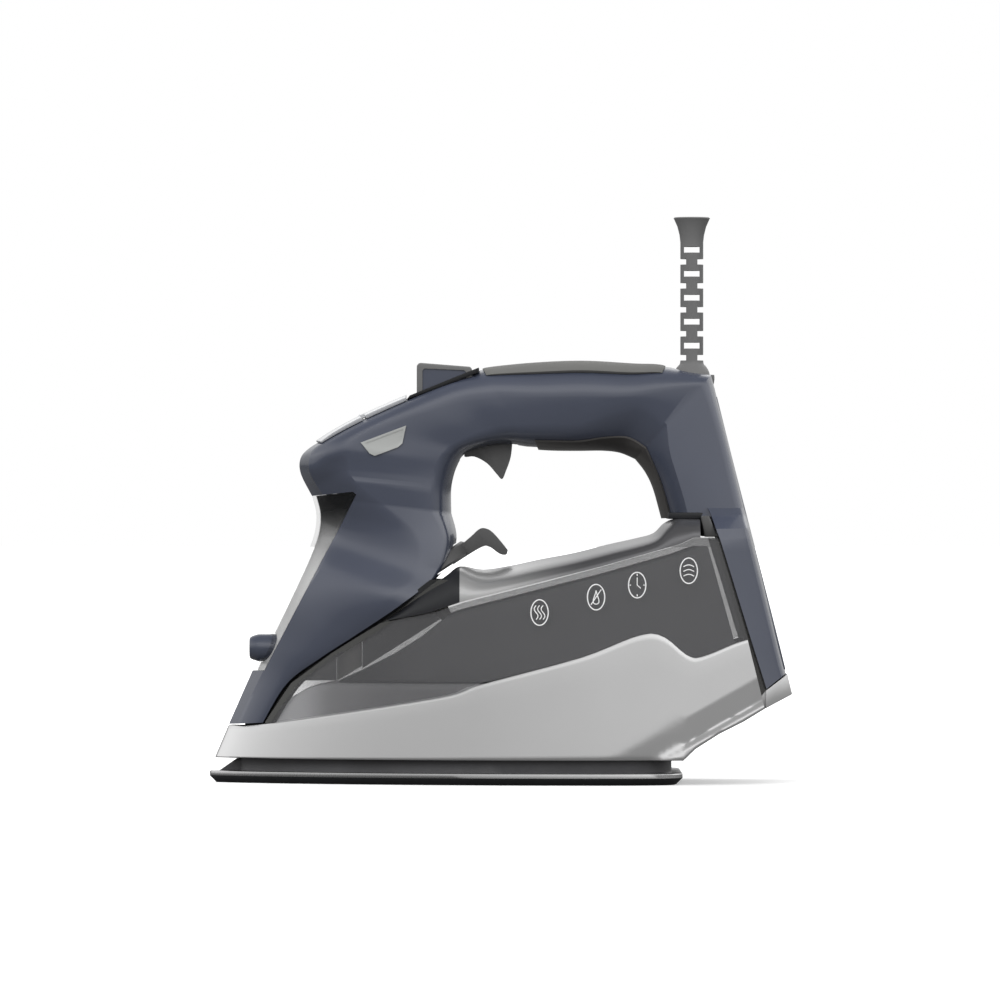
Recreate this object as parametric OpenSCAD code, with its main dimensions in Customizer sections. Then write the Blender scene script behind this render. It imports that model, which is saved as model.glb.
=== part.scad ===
// Mains steam iron: soleplate down, tip towards -X, heel towards +X, millimetres.
// The origin is under the middle of the part, on the surface that it stands on.

/* [Overall] */
// Length from the soleplate's tip to the lower corner of the heel
part_len = 278; // [276:1:280]
// Height of the handle's highest point
handle_top_z = 202.1; // [201.6:0.1:202.6]

/* [Soleplate and casting] */
// Largest half width of the soleplate
sole_half_w = 56; // [50:0.5:60]
// Thickness of the soleplate
sole_t = 5.6; // [4.6:0.1:6.4]
// Height of the bevelled lower edge of the soleplate
sole_bevel = 2.4; // [1:0.1:3]
// Radius of a steam hole
steam_hole_r = 1.5; // [1:0.1:2]
// Steam holes along each side of the soleplate
steam_holes = 9; // [5:1:11]
// Height of the aluminium casting above the soleplate
casting_h = 12; // [10:0.5:15]
// Thickness of the steam chamber's lid
chamber_lid_t = 1.6; // [1:0.1:2.5]
// Radius of the heating element's tube
element_r = 3.4; // [2.8:0.1:3.8]
// Height of the dark heat shield band above the soleplate
shield_h = 6.2; // [5:0.1:8]

/* [Body] */
// Largest half width of the body at the bottom of the skirt
body_half_w = 54; // [50:0.5:56]
// Inward lean of the flanks, in millimetres for each millimetre of height
flank_lean = 0.07; // [0:0.01:0.1]
// Wall of the lower skirt
skirt_wall = 2.4; // [1.8:0.1:2.8]
// Wall of the clear tank window
window_wall = 2.2; // [1.6:0.1:2.6]
// Wall of the water tank
tank_wall = 1.8; // [1.4:0.1:2.4]
// Wall of the tank's top cover
cover_wall = 2.2; // [1.6:0.1:2.8]
// Wall of the two body shells
shell_wall = 2.8; // [2.2:0.1:3.2]
// Gap between neighbouring casings
gap = 0.3; // [0.2:0.05:0.4]
// Gap between walls that nest inside each other
nest_gap = 0.9; // [0.7:0.05:1]

/* [Handle] */
// Half width of the handle
handle_half_w = 18.5; // [16:0.5:20]
// Half width of the front pillar beside the hand opening
pillar_half_w = 23; // [20:0.5:24]
// Half width of the rear pillar at its foot
rear_half_w = 29; // [26:0.5:31]
// Thickness of the soft grip at the middle of the handle
grip_t = 1.7; // [1:0.1:2.2]
// Thickness of the metallic trim in the hand opening
trim_t = 1.2; // [0.8:0.1:1.6]
// Thickness of the pale top deck and filler lid
deck_t = 1.8; // [1.2:0.1:2.2]

/* [Buttons and trigger] */
// Length of each button along the handle
button_len = 26; // [22:0.5:27]
// Width of each button across the handle
button_w = 12; // [9:0.5:12.5]
// Height of the buttons' tops above the soleplate's underside
button_top_z = 200.8; // [199:0.2:203]
// Travel of each button
button_travel = 4; // [2:0.5:5]
// Radius of each pump's barrel
pump_r = 6; // [5:0.25:6.5]
// Radius of each pump's plunger
plunger_r = 2.5; // [1.8:0.1:3]
// Width of the steam trigger
trigger_w = 10; // [7:0.5:12]
// Radius of the trigger's pin
trigger_pin_r = 1.6; // [1:0.1:2]
// Wire radius of the return springs
spring_wire_r = 0.5; // [0.3:0.05:0.6]

/* [Temperature dial] */
// Radius of the dial's disc
dial_r = 30; // [29:0.25:31]
// Thickness of the dial's disc
dial_t = 7; // [5:0.25:7.5]
// Width of the dial's finger tab
dial_tab_w = 15; // [10:0.5:18]
// Radius of the dial's shaft
dial_shaft_r = 3; // [2:0.1:3.5]
// Tilt of the dial from level, in degrees
dial_tilt = 33; // [31:0.5:34]

/* [Cord guard] */
// Radius of the guard's ball foot
ball_r = 8.8; // [8:0.1:9.2]
// Radius of the guard's body
guard_r = 5.5; // [5:0.1:6]
// Radius of the flared mouth
guard_mouth_r = 8.75; // [7.5:0.25:9.5]
// Radius of the bore that the cord leaves by
cord_bore_r = 3.6; // [3:0.1:3.8]
// Radial wall of the swivel yoke
yoke_wall = 1.8; // [1.4:0.1:2]
// Spacing of the slots along the guard
slot_pitch = 11.5; // [10.5:0.25:12]

/* [Hidden] */
$fn = 48;
far = 300;      // reach of a cutting block
corner_steps = 6;

// ---------------------------------------------------------------- outlines, as [x, z] in side view
skirt_base_z = sole_t + shield_h;
front_edge = [[skirt_base_z, -136.6], [30.2, -128.9], [53.3, -118.8], [76.3, -107.8], [95.5, -98.6],
    [107, -93.4], [118.6, -89]];
seam_edge = [[28.8, -114], [47.5, -101.5], [63.4, -79.9], [76.8, -57.8], [97.4, -30.5]];
skirt_edge = [[-130, 27.6], [-108.4, 28.8], [-28.6, 41.4], [-9.4, 47.5], [38.6, 60.5], [71.7, 72],
    [88.8, 61.8], [96, 61], [111.4, 67.1], [118, 69.2]];
groove_edge = [[-57.8, 76.8], [-33.4, 81.5], [-18, 86.7], [48.2, 103.5], [85.5, 114.1], [92, 117.2],
    [104.2, 117.2]];
wide_x = 50;                    // where the body is widest
heel_foot = [part_len / 2, 43.2];                       // lower corner of the heel
heel_top = [heel_foot[0] - 37.5, handle_top_z - 6.7];   // upper corner of the rear face
heel_lean = atan2(heel_foot[0] - heel_top[0], heel_top[1] - heel_foot[1]);
under_edge = [[87.1, skirt_base_z], [92.9, 17.3], [104.4, 24.5], [115.9, 30.2], [126.2, 36.4], heel_foot];

// ---------------------------------------------------------------- small functions
function mix(a, b, t) = a + (b - a) * t;
function flat(lists) = [for (list = lists) each list];
function row_at(rows, i) = rows[max(0, min(len(rows) - 1, i))];
// Catmull-Rom curve through rows of numbers
function blend(a, b, c, d, t) = 0.5 * (2 * b + (c - a) * t + (2 * a - 5 * b + 4 * c - d) * t * t
    + (3 * b - a - 3 * c + d) * t * t * t);
function smooth(rows, steps) = [
    for (i = [0 : len(rows) - 2]) for (k = [0 : steps - 1])
        blend(row_at(rows, i - 1), rows[i], rows[i + 1], row_at(rows, i + 2), k / steps),
    rows[len(rows) - 1]];
// Half width of an iron-shaped plan from its tip at x0 to its rear at x1
function plan_half(x, x0, x1, half) = x < wide_x
    ? max(0.02 * half, half * pow(max(0, 1 - pow(1 - (x - x0) / (wide_x - x0), 2)), 0.8))
    : half * (1 - 0.13 * pow((x - wide_x) / (x1 - wide_x), 2));
function prow_x(z) = lookup(z, front_edge);
function body_half(x, z) = plan_half(x, prow_x(z), heel_foot[0],
    body_half_w - flank_lean * (z - skirt_base_z));
function heel_x(z) = mix(heel_foot[0], heel_top[0], (z - heel_foot[1]) / (heel_top[1] - heel_foot[1]));

// ---------------------------------------------------------------- skins built from grids of points
// A wall between an outer and an inner grid; closed joins the last column to the first
module skin(outer, inner, closed = false) {
    rows = len(outer);
    cols = len(outer[0]);
    last = closed ? cols - 1 : cols - 2;
    size = rows * cols;
    function at(i, j, layer) = layer * size + i * cols + j % cols;
    quads = concat(
        [for (i = [0 : rows - 2]) for (j = [0 : last])
            [at(i, j, 0), at(i, j + 1, 0), at(i + 1, j + 1, 0), at(i + 1, j, 0)]],
        [for (i = [0 : rows - 2]) for (j = [0 : last])
            [at(i, j, 1), at(i + 1, j, 1), at(i + 1, j + 1, 1), at(i, j + 1, 1)]],
        [for (j = [0 : last]) [at(0, j, 0), at(0, j, 1), at(0, j + 1, 1), at(0, j + 1, 0)]],
        [for (j = [0 : last]) [at(rows - 1, j, 0), at(rows - 1, j + 1, 0), at(rows - 1, j + 1, 1),
            at(rows - 1, j, 1)]],
        closed ? [] : [for (i = [0 : rows - 2])
            [at(i, 0, 0), at(i + 1, 0, 0), at(i + 1, 0, 1), at(i, 0, 1)]],
        closed ? [] : [for (i = [0 : rows - 2]) [at(i, cols - 1, 0), at(i, cols - 1, 1),
            at(i + 1, cols - 1, 1), at(i + 1, cols - 1, 0)]]);
    polyhedron(concat(flat(outer), flat(inner)),
        [for (q = quads) each [[q[0], q[1], q[2]], [q[0], q[2], q[3]]]], convexity = 10);
}
// A closed solid through rings of points; each ring reads the same from both its ends, mirrored
module loft(rings) {
    rows = len(rings);
    cols = len(rings[0]);
    function at(i, j) = i * cols + j % cols;
    function end_quads(i) = [for (k = [0 : cols / 2 - 2])
        [at(i, k), at(i, k + 1), at(i, cols - 2 - k), at(i, cols - 1 - k)]];
    quads = concat(
        [for (q = end_quads(0)) [q[3], q[2], q[1], q[0]]],
        end_quads(rows - 1),
        [for (i = [0 : rows - 2]) for (j = [0 : cols - 1])
            [at(i, j), at(i, j + 1), at(i + 1, j + 1), at(i + 1, j)]]);
    polyhedron(flat(rings), [for (q = quads) each [[q[0], q[1], q[2]], [q[0], q[2], q[3]]]], convexity = 10);
}
// Prism of a side-view outline, from y0 to y1
module prism(points, y0, y1) {
    translate([0, y1, 0]) rotate([90, 0, 0]) linear_extrude(y1 - y0) polygon(points);
}

// ---------------------------------------------------------------- the arch: prow, nose, handle, rear pillar
// Each row is [outer x, outer z, inner x, inner z, outer half width, inner half width,
//   outer round-off length, inner round-off length, outer exponent, inner exponent]
function seam_row(ox, oz, ix, iz) = let (reach = norm([ix - ox, iz - oz]), w = body_half(ix, iz))
    [ox, oz, ix, iz, w, w, reach - 1.5, 0.6, 1.2, 6];
prow_rows = [
    seam_row(-129.9, 27.9, -113, 28.9),
    seam_row(-121, 48, -101.5, 47.5),
    seam_row(-112.5, 66.6, -85, 60),
    seam_row(-103.2, 85.9, -68, 71),
    [-93.4, 107, -46, 85.7, 33, 33, 46, 1, 1.25, 6],
    [-88.8, 119.5, -29.5, 98.5, pillar_half_w + 5, pillar_half_w + 5, 54, 3, 1.3, 4],
    [-88, 129, -20.8, 115, pillar_half_w + 2, pillar_half_w + 1, 50, 8, 1.4, 2.6],
    [-90, 137.3, -23.1, 129, pillar_half_w, pillar_half_w, 36, 12, 1.6, 2.3]];
nose_rows = [
    [-90, 137.3, -23.1, 129, pillar_half_w, pillar_half_w, 36, 12, 1.6, 2.3],
    [-95.3, 147.8, -23.2, 140, pillar_half_w, pillar_half_w, 26, 12, 1.9, 2.3],
    [-95.6, 155, -22, 147, pillar_half_w, pillar_half_w - 0.5, 24, 12, 2.1, 2.3],
    [-91.4, 160.2, -20, 152.5, pillar_half_w, pillar_half_w - 1, 20, 12, 2.3, 2.3],
    [-82, 165.6, -17.6, 156.4, pillar_half_w - 0.5, pillar_half_w - 1.5, 16, 12, 2.5, 2.3],
    [-66, 173.8, -13.5, 159, pillar_half_w - 1, handle_half_w + 2, 13, 12, 2.6, 2.3],
    [-46, 183, -4, 161.4, pillar_half_w - 2, handle_half_w + 1, 13, 13, 2.6, 2.3],
    [-26, 191.8, 5, 162, handle_half_w + 1, handle_half_w, 14, 14, 2.5, 2.3],
    [-8, 198, 13, 161, handle_half_w, handle_half_w, 16, 14, 2.3, 2.2]];
handle_rows = [
    [-8, 198, 13, 161, handle_half_w, handle_half_w, 16, 14, 2.3, 2.2],
    [16, handle_top_z - 0.7 - grip_t, 25, 160.4, handle_half_w, handle_half_w - 0.5, 16, 14, 2.2, 2.2],
    [40, handle_top_z - grip_t, 38, 160.3, handle_half_w, handle_half_w - 0.5, 16, 14, 2.2, 2.2],
    [64, handle_top_z - 1 - grip_t, 50, 160.3, handle_half_w, handle_half_w, 16, 14, 2.2, 2.2],
    [79.5, 199.3, 58.5, 159.2, handle_half_w, handle_half_w + 1, 15, 14, 2.4, 2.2],
    [heel_top[0], heel_top[1], 66, 156, handle_half_w, handle_half_w + 2, 8, 15, 3, 2.2]];
pillar_rows = [
    [heel_top[0], heel_top[1], 66, 156, handle_half_w, handle_half_w + 2, 8, 15, 3, 2.2],
    [heel_x(180), 180, 71, 149.5, mix(handle_half_w, rear_half_w, 0.25), handle_half_w + 3, 6, 17, 3.5, 2.2],
    [heel_x(160), 160, 75, 141, mix(handle_half_w, rear_half_w, 0.55), handle_half_w + 5, 5, 19, 4, 2.2],
    [heel_x(128.4), 128.4, 79, 126.6, rear_half_w, handle_half_w + 8, 5, 20, 4, 2.2]];
arch_rows = concat(smooth(prow_rows, 2), [for (i = [1 : 16]) smooth(nose_rows, 2)[i]],
    [for (i = [1 : 10]) smooth(handle_rows, 2)[i]], [for (i = [1 : 6]) smooth(pillar_rows, 2)[i]]);
// Where pieces begin and end along arch_rows
window_rows = some_rows(arch_rows, 4, 14);
lid_rows = some_rows(arch_rows, 21, 25);
hinge_at = 24;                  // row that the lid's hinge lies over
deck_rows = some_rows(arch_rows, 23, 28);
inlay_rows = some_rows(arch_rows, 14, 28);
grip_rows = some_rows(arch_rows, 30, 38);
trim_rows = some_rows(arch_rows, 31, len(arch_rows) - 1);
// Row of the rear band, as wide as the body is at wide_at on the outer edge and at ix on the inner one
function band_row(wide_at, oz, ix, iz) =
    [heel_x(oz), oz, ix + gap, iz, body_half(wide_at, oz), body_half(ix, iz), 5, 0.6, 4, 6];
band_rows = [
    [heel_x(131.5), 131.5, 99, 131.5, rear_half_w - 0.5, rear_half_w - 0.5, 5, 0.6, 4, 6],
    [heel_x(128.4), 128.4, 100.5, 128.4, rear_half_w + 1.5, rear_half_w + 2, 5, 0.6, 4, 6],
    [heel_x(122), 122, 102.6, 121.6, 42, 42.5, 5, 0.6, 4, 6],
    band_row(120.9, 116.5, 104.2, 116.5),
    band_row(126, 94.5, 111, 94.5),
    band_row(132, 68.7, 118.9, 68.7),
    band_row(136, 53.4, 126.2, 45.6)];

// Point on a row's section at angle a: 0 is the outer edge, 180 the inner edge
function arch_point(row, a, inset) = let (
        reach = norm([row[2] - row[0], row[3] - row[1]]),
        along = [row[2] - row[0], row[3] - row[1]] / reach,
        outer_len = max(0.4, min(row[6], reach - row[7] - 0.5) - inset),
        inner_len = max(0.4, row[7] - inset),
        t = a <= 90 ? inset + outer_len * (1 - pow(cos(a), 2 / row[8]))
            : reach - inset - inner_len * (1 - pow(cos(180 - a), 2 / row[9])),
        y = a <= 90 ? (row[4] - inset) * pow(sin(a), 2 / row[8])
            : (row[5] - inset) * pow(sin(180 - a), 2 / row[9]))
    [row[0] + along[0] * t, y, row[1] + along[1] * t];
// Both sides of the straight flank have a column of their own, at 90 degrees
half_angles = [for (k = [0 : corner_steps]) 90 * k / corner_steps,
    for (k = [0 : corner_steps]) max(90.001, 90 + 90 * k / corner_steps)];
function arch_grid(rows, inset) = [for (row = rows) [for (a = half_angles) arch_point(row, a, inset)]];
function some_rows(rows, i0, i1) = [for (i = [i0 : i1]) rows[i]];
function some_cols(grid, j0, j1) = [for (row = grid) [for (j = [j0 : j1]) row[j]]];
// Grid across the middle over one edge of the arch, cols columns to each side; the last is drawn in
// by edge degrees
function saddle(rows, cols, inset, inner = false, edge = 0) = [
    for (row = rows) [for (k = [-cols : cols]) let (
        a = 90 * abs(k) / corner_steps - (abs(k) == cols ? edge : 0),
        p = arch_point(row, inner ? 180 - a : a, inset))
    [p[0], p[1] * sign(k) * (inner ? -1 : 1), p[2]]]];
module arch_patch(rows, cols, outer_inset, inner_inset, edge = 0) {
    skin(saddle(rows, cols, outer_inset, false, edge), saddle(rows, cols, inner_inset, false, edge));
}

// ---------------------------------------------------------------- the lower body's rings
// Columns from tip to heel: [x at the lower edge, x at the upper edge]
skirt_cols = [[-136.6, -130], [-134.4, -128], [-129, -122.5], [-120, -114], [-112.5, -108.4], [-104, -100],
    [-86, -80], [-58, -54], [-31, -28.6], [-10, -9.4], [14, 14], [38, 38.6], [56, 56], [71.7, 71.7],
    [87.1, 88.8], [92.9, 96], [104.4, 103.5], [115.9, 111.4], [125.9, 117.7]];
window_cols = [[-114, -57.8], [-100, -45.6], [-80, -33.4], [-54, -18], [-28.6, -2], [-9.4, 14], [14, 31],
    [38.6, 48.2], [56, 62], [71.7, 74], [80.5, 80], [88.8, 85.5], [96, 92], [111.4, 98], [117.6, 103.2]];
function under_z(x) = x < 87.1 ? skirt_base_z : lookup(x, under_edge);
function skirt_z(x) = lookup(x, skirt_edge);
function seam_bow(z) = lookup(z, seam_edge) - mix(-114, -57.8, (z - 28.8) / 48);
// Ring of points round the body at one level; place gives [x, z] of a column at that level
function body_ring(spots, inset) = let (side = [for (p = spots) let (
        w = body_half(p[0], p[1]),
        tip = max(0, 1 - (p[0] - prow_x(p[1])) / 30))
        [p[0] + 2 * inset * tip * tip, max(0.4, w - inset), p[1]]])
    concat([for (i = [len(side) - 1 : -1 : 0]) [side[i][0], -side[i][1], side[i][2]]], side);
function skirt_spots(t) = [
    for (c = skirt_cols) [mix(c[0], c[1], t), mix(under_z(c[0]), skirt_z(c[1]), t)]];
function window_spots(t) = [for (i = [0 : len(window_cols) - 1]) let (
        c = window_cols[i],
        z = mix(skirt_z(c[0]) + gap, lookup(c[1], groove_edge), t),
        lead = pow(1 - i / (len(window_cols) - 1), 3))
    [mix(c[0], c[1], t) + lead * (seam_bow(z) + nest_gap) + gap, z]];

// ---------------------------------------------------------------- soleplate and what sits on it
function plan_outline(x0, x1, half, corner, inset = 0) = let (
        xs = concat([for (k = [0 : 11]) mix(x0, wide_x, 1 - cos(90 * k / 12))], [wide_x],
            [for (k = [0 : 4]) x1 - corner + corner * sin(90 * k / 4)]),
        side = [for (x = xs) let (over = max(0, x - (x1 - corner)))
            [x, plan_half(x, x0, x1, half) - corner + sqrt(corner * corner - over * over)]])
    concat([for (p = side) [p[0] + inset * (p[0] < 0 ? 1 : -1), p[1] - inset]],
        [for (i = [len(side) - 1 : -1 : 0]) let (p = side[i])
            [p[0] + inset * (p[0] < 0 ? 1 : -1), -p[1] + inset]]);
sole_tip = -part_len / 2;
sole_rear = 87.1;
shield_tip = -124.9;
shield_rear = 82.2;
shield_half = body_half_w - skirt_wall - nest_gap - gap;
shield_wall = 3;
casting_tip = shield_tip + 2 * shield_wall;
casting_rear = shield_rear - shield_wall - gap;
casting_half = shield_half - shield_wall - gap;
casting_top_z = sole_t + casting_h;
gallery_h = 1.6;                // steam gallery under the casting
gallery_rim = 5;
chamber_floor_z = sole_t + gallery_h + 3;
// Places of the steam holes, along the rim of the casting's gallery
steam_spots = [for (k = [0 : steam_holes - 1]) let (x = mix(casting_tip + 20, 20, k / (steam_holes - 1)))
    [x, plan_half(x, casting_tip, casting_rear, casting_half) - gallery_rim - 4]];
module each_steam_hole(r, z0, z1) {
    for (p = steam_spots) for (s = [-1, 1])
        translate([p[0], s * p[1], z0]) cylinder(r = r, h = z1 - z0, $fn = 24);
}
function level_ring(points, z) = [for (p = points) [p[0], p[1], z]];

module soleplate() {
    color("#8d9096") difference() {
        union() {
            loft([level_ring(plan_outline(sole_tip + 2.1, sole_rear - 2.1, sole_half_w - 2.1, 10), 0),
                level_ring(plan_outline(sole_tip, sole_rear, sole_half_w, 12), sole_bevel)]);
            translate([0, 0, sole_bevel]) linear_extrude(sole_t - sole_bevel)
                polygon(plan_outline(sole_tip, sole_rear, sole_half_w, 12));
        }
        each_steam_hole(steam_hole_r, -1, sole_t + 1);
    }
}
element_ends_x = 58;
element_nose_x = -80;
element_nose_r = 9;
element_leg_y = 32;
element_z = casting_top_z;
function leg_y(x) = mix(element_nose_r, element_leg_y,
    (x - element_nose_x) / (element_ends_x - element_nose_x));
// The element's path: two legs that close in on a round nose
module element_path(r) {
    spread = atan2(element_leg_y - element_nose_r, element_ends_x - element_nose_x);
    leg = norm([element_ends_x - element_nose_x, element_leg_y - element_nose_r]);
    for (s = [-1, 1]) translate([element_nose_x, s * element_nose_r, element_z])
        rotate([0, 0, s * spread]) rotate([0, 90, 0]) cylinder(r = r, h = leg);
    translate([element_nose_x, 0, element_z]) rotate([0, 0, 90]) rotate_extrude(angle = 180)
        translate([element_nose_r, 0]) circle(r = r);
    for (s = [-1, 1]) translate([element_nose_x, s * element_nose_r, element_z]) sphere(r = r);
}
chamber_x = [-64, 44];
function chamber_outline(inset) = let (
        near = leg_y(chamber_x[0]) - element_r - 2 - inset,
        wide = leg_y(chamber_x[1]) - element_r - 2 - inset)
    [[chamber_x[0] + inset, -near], [chamber_x[1] - inset, -wide], [chamber_x[1] - inset, wide],
        [chamber_x[0] + inset, near]];
screw_spots = [[-99, 0], [68, 17], [68, -17]];
casting_screw_r = 2;
module steam_casting() {
    color("#9a9c9e") difference() {
        translate([0, 0, sole_t]) linear_extrude(casting_h)
            polygon(plan_outline(casting_tip, casting_rear, casting_half, 12));
        translate([0, 0, sole_t - 1]) linear_extrude(gallery_h + 1)
            polygon(plan_outline(casting_tip + 2 * gallery_rim, casting_rear - gallery_rim,
                casting_half - gallery_rim, 10));
        translate([0, 0, chamber_floor_z]) linear_extrude(casting_h) polygon(chamber_outline(3));
        element_path(element_r + gap / 2);
        for (x = [-40, 0, 30]) translate([x, 0, sole_t]) cylinder(r = 2.4, h = casting_h);
        for (p = screw_spots) translate([p[0], p[1], sole_t])
            cylinder(r = casting_screw_r, h = casting_h + 1);
    }
}
module heating_element() {
    color("#6e6a66") union() {
        element_path(element_r);
        for (s = [-1, 1]) translate([element_ends_x - 3, s * leg_y(element_ends_x - 3), element_z])
            cylinder(r = 1.6, h = 14);
    }
}
gasket_h = 0.8;
lid_z = casting_top_z + gasket_h;
shaft_hole_r = dial_shaft_r + 1.2;
module chamber_gasket() {
    color("#2b2b2b") translate([0, 0, casting_top_z]) linear_extrude(gasket_h) difference() {
        polygon(chamber_outline(0));
        polygon(chamber_outline(2.6));
    }
}
valve_x = -30;
module chamber_cover() {
    color("#b9bbbd") difference() {
        translate([0, 0, lid_z]) linear_extrude(chamber_lid_t) polygon(chamber_outline(0));
        translate([valve_x, 0, lid_z - 1]) cylinder(r = 3.2, h = 4);
    }
}
module heat_shield() {
    tab_t = 1.6;
    color("#333437") difference() {
        union() {
            difference() {
                translate([0, 0, sole_t]) linear_extrude(shield_h + 8)
                    polygon(plan_outline(shield_tip, shield_rear, shield_half, 12));
                translate([0, 0, sole_t - 1]) linear_extrude(shield_h + 10)
                    polygon(plan_outline(casting_tip - gap, casting_rear + gap, casting_half + gap, 12));
            }
            prism([[-134.5, sole_t], [-126, skirt_base_z - 0.3], [shield_tip + 2, skirt_base_z - 0.3],
                [shield_tip + 2, sole_t]], -1, 1);
            // tabs that reach in to the screws from the tip and from the rear
            for (p = screw_spots) let (
                    x0 = p[0] < 0 ? casting_tip - 2 : p[0] - 6,
                    x1 = p[0] < 0 ? p[0] + 6 : casting_rear + 2)
                translate([x0, p[1] - 5, casting_top_z]) cube([x1 - x0, 10, tab_t]);
        }
        for (p = screw_spots) translate([p[0], p[1], casting_top_z - 1])
            cylinder(r = casting_screw_r + gap, h = 4);
    }
}
module casting_screws() {
    color("#c9c9c9") for (p = screw_spots) translate([p[0], p[1], sole_t + 2]) union() {
        cylinder(r = casting_screw_r - 0.05, h = casting_h);
        translate([0, 0, casting_h - 0.4]) cylinder(r = 3.6, h = 2.2);
    }
}

// ---------------------------------------------------------------- dial axis: local Z is the hinge axis
dial_centre = [-38, 0, 98.8];
module on_dial_axis() {
    translate(dial_centre) rotate([0, -dial_tilt, 0]) children();
}
function dial_reach(z) = (dial_centre[2] - z) / cos(dial_tilt);      // way down the shaft to height z
thermostat_z = lid_z + chamber_lid_t + 9;
thermostat_r = 9;
module thermostat() {
    depth = dial_reach(thermostat_z);
    foot_x = dial_centre[0] + depth * sin(dial_tilt);
    color("#d8d2c4") difference() {
        union() {
            on_dial_axis() translate([0, 0, -depth - 4]) cylinder(r = thermostat_r, h = 8);
            translate([foot_x - 8, -7, lid_z + chamber_lid_t]) cube([16, 14, 8]);
        }
        on_dial_axis() translate([0, 0, -depth - 2]) cylinder(r = dial_shaft_r + 0.06, h = 20);
    }
}
module dial_shaft() {
    color("#efefef") on_dial_axis() translate([0, 0, -dial_reach(thermostat_z) - 1.5])
        cylinder(r = dial_shaft_r, h = dial_reach(thermostat_z) + 1.5 - dial_t / 2);
}
module thermal_fuse() {
    color("#e3dccb") translate([-14, 6, lid_z + chamber_lid_t]) union() {
        translate([-7, -2.5, 0]) cube([14, 5, 2]);
        translate([-6, 0, 3.4]) rotate([0, 90, 0]) cylinder(r = 1.8, h = 12);
    }
}
module drip_valve() {
    top = tank_floor_z + 12;
    color("#d9d4c8") translate([valve_x, 0, lid_z]) union() {
        cylinder(r = 3, h = chamber_lid_t + 0.5);
        translate([0, 0, chamber_lid_t]) cylinder(r = 5, h = 3);
        translate([0, 0, chamber_lid_t]) cylinder(r = 3.2, h = top - lid_z - chamber_lid_t);
        translate([0, 0, top - lid_z - 2]) cylinder(r = 4.2, h = 3);
    }
}

// ---------------------------------------------------------------- skirt, liner and tank
levels = 4;
module lower_skirt() {
    color("#cfd0d2") skin([for (k = [0 : levels]) body_ring(skirt_spots(k / levels), 0)],
        [for (k = [0 : levels]) body_ring(skirt_spots(k / levels), skirt_wall)]);
}
heel_base_t = 3;
module heel_base() {
    split = 126.2;
    xs = [84, 94, 104, 115, split, split + 0.1, 132, heel_foot[0]];
    half = [for (x = xs) body_half(x, 36) - (x <= split ? skirt_wall + 2 * gap : 0)];
    color("#d6d7d9") intersection() {
        prism(concat(under_edge, [[heel_foot[0] - 2 - gap, 53.1 - gap], [split + gap, 45.3 - gap],
            [118, 34.9], [104, 24.6 + heel_base_t], [90, 14.6 + heel_base_t],
            [84.5, skirt_base_z + heel_base_t], [84.5, skirt_base_z]]), -far, far);
        linear_extrude(far) polygon(concat([for (i = [0 : len(xs) - 1]) [xs[i], half[i]]],
            [for (i = [len(xs) - 1 : -1 : 0]) [xs[i], -half[i]]]));
    }
}
liner_top_z = 48.3;
tank_floor_z = liner_top_z + gap;
liner_edge = [[28, -108.4], [40.7, -99.6], [46, -90.4], [liner_top_z, -79.7]];
function liner_spots(z) = [for (k = [0 : 10]) [mix(lookup(z, liner_edge), 96, k / 10), z]];
// Ring between two walls of the body that stand across its length
function box_ring(spots, inset) = let (
        side = [for (p = spots) [p[0], max(1, body_half(p[0], p[1]) - inset), p[1]]])
    concat([for (i = [len(side) - 1 : -1 : 0]) [side[i][0], -side[i][1], side[i][2]]], side);
module liner_holes() {
    translate([valve_x, 0, 20]) cylinder(r = 5, h = 60);
    on_dial_axis() translate([0, 0, -90]) cylinder(r = shaft_hole_r, h = 85);
}
module skirt_liner() {
    inset = skirt_wall + nest_gap;
    zs = [27, 34, 40.7, 46, liner_top_z];
    color("#c8c9cb") difference() {
        loft([for (z = zs) box_ring(liner_spots(z), inset)]);
        loft([for (z = [25, 34, 40.7, 45.2]) box_ring([for (p = liner_spots(z))
            [p[0] + (p[0] < 0 ? 3 : -2), p[1]]], inset + 2)]);
        liner_holes();
    }
}
tank_inset = skirt_wall + nest_gap;
tank_foot = [-77, tank_floor_z];
tank_brow = [-24, 80];
tank_cols = [0, 0.08, 0.18, 0.3, 0.45, 0.6, 0.75, 0.88, 1];
function tank_spots(t, inset) = [for (c = tank_cols) let (
        x0 = mix(tank_foot[0], tank_brow[0], t), x1 = mix(117, 99, t),
        x = mix(x0 + inset, x1 - inset, c),
        top = lookup(x, groove_edge) - 4)
    [x, mix(tank_floor_z + inset, top - inset, t)]];
module water_tank() {
    color("#5d5f62") difference() {
        loft([for (k = [0 : levels]) box_ring(tank_spots(k / levels, 0), tank_inset)]);
        difference() {
            loft([for (k = [0 : levels])
                box_ring(tank_spots(k / levels, tank_wall), tank_inset + tank_wall)]);
            on_dial_axis() translate([0, 0, -90]) cylinder(r = shaft_hole_r + tank_wall, h = 85);
        }
        on_dial_axis() translate([0, 0, -90]) cylinder(r = shaft_hole_r, h = 85);
        translate([valve_x, 0, 30]) cylinder(r = 3.4, h = 30);
        translate([neck_x, 0, tank_floor_z + tank_wall]) cylinder(r = neck_r - neck_wall, h = 20);
    }
}
module tank_window() {
    color("#7f8286") difference() {
        skin([for (k = [0 : levels]) body_ring(window_spots(k / levels), 0)],
            [for (k = [0 : levels]) let (spots = window_spots(k / levels), last = len(spots) - 1)
                box_ring([for (i = [0 : last])
                    spots[i] + [i == 0 ? 1.4 * window_wall : i == last ? -window_wall : 0, 0]],
                    window_wall)], true);
        translate([neck_x, 0, 40]) cylinder(r = neck_r + gap, h = 60);
    }
}
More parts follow.
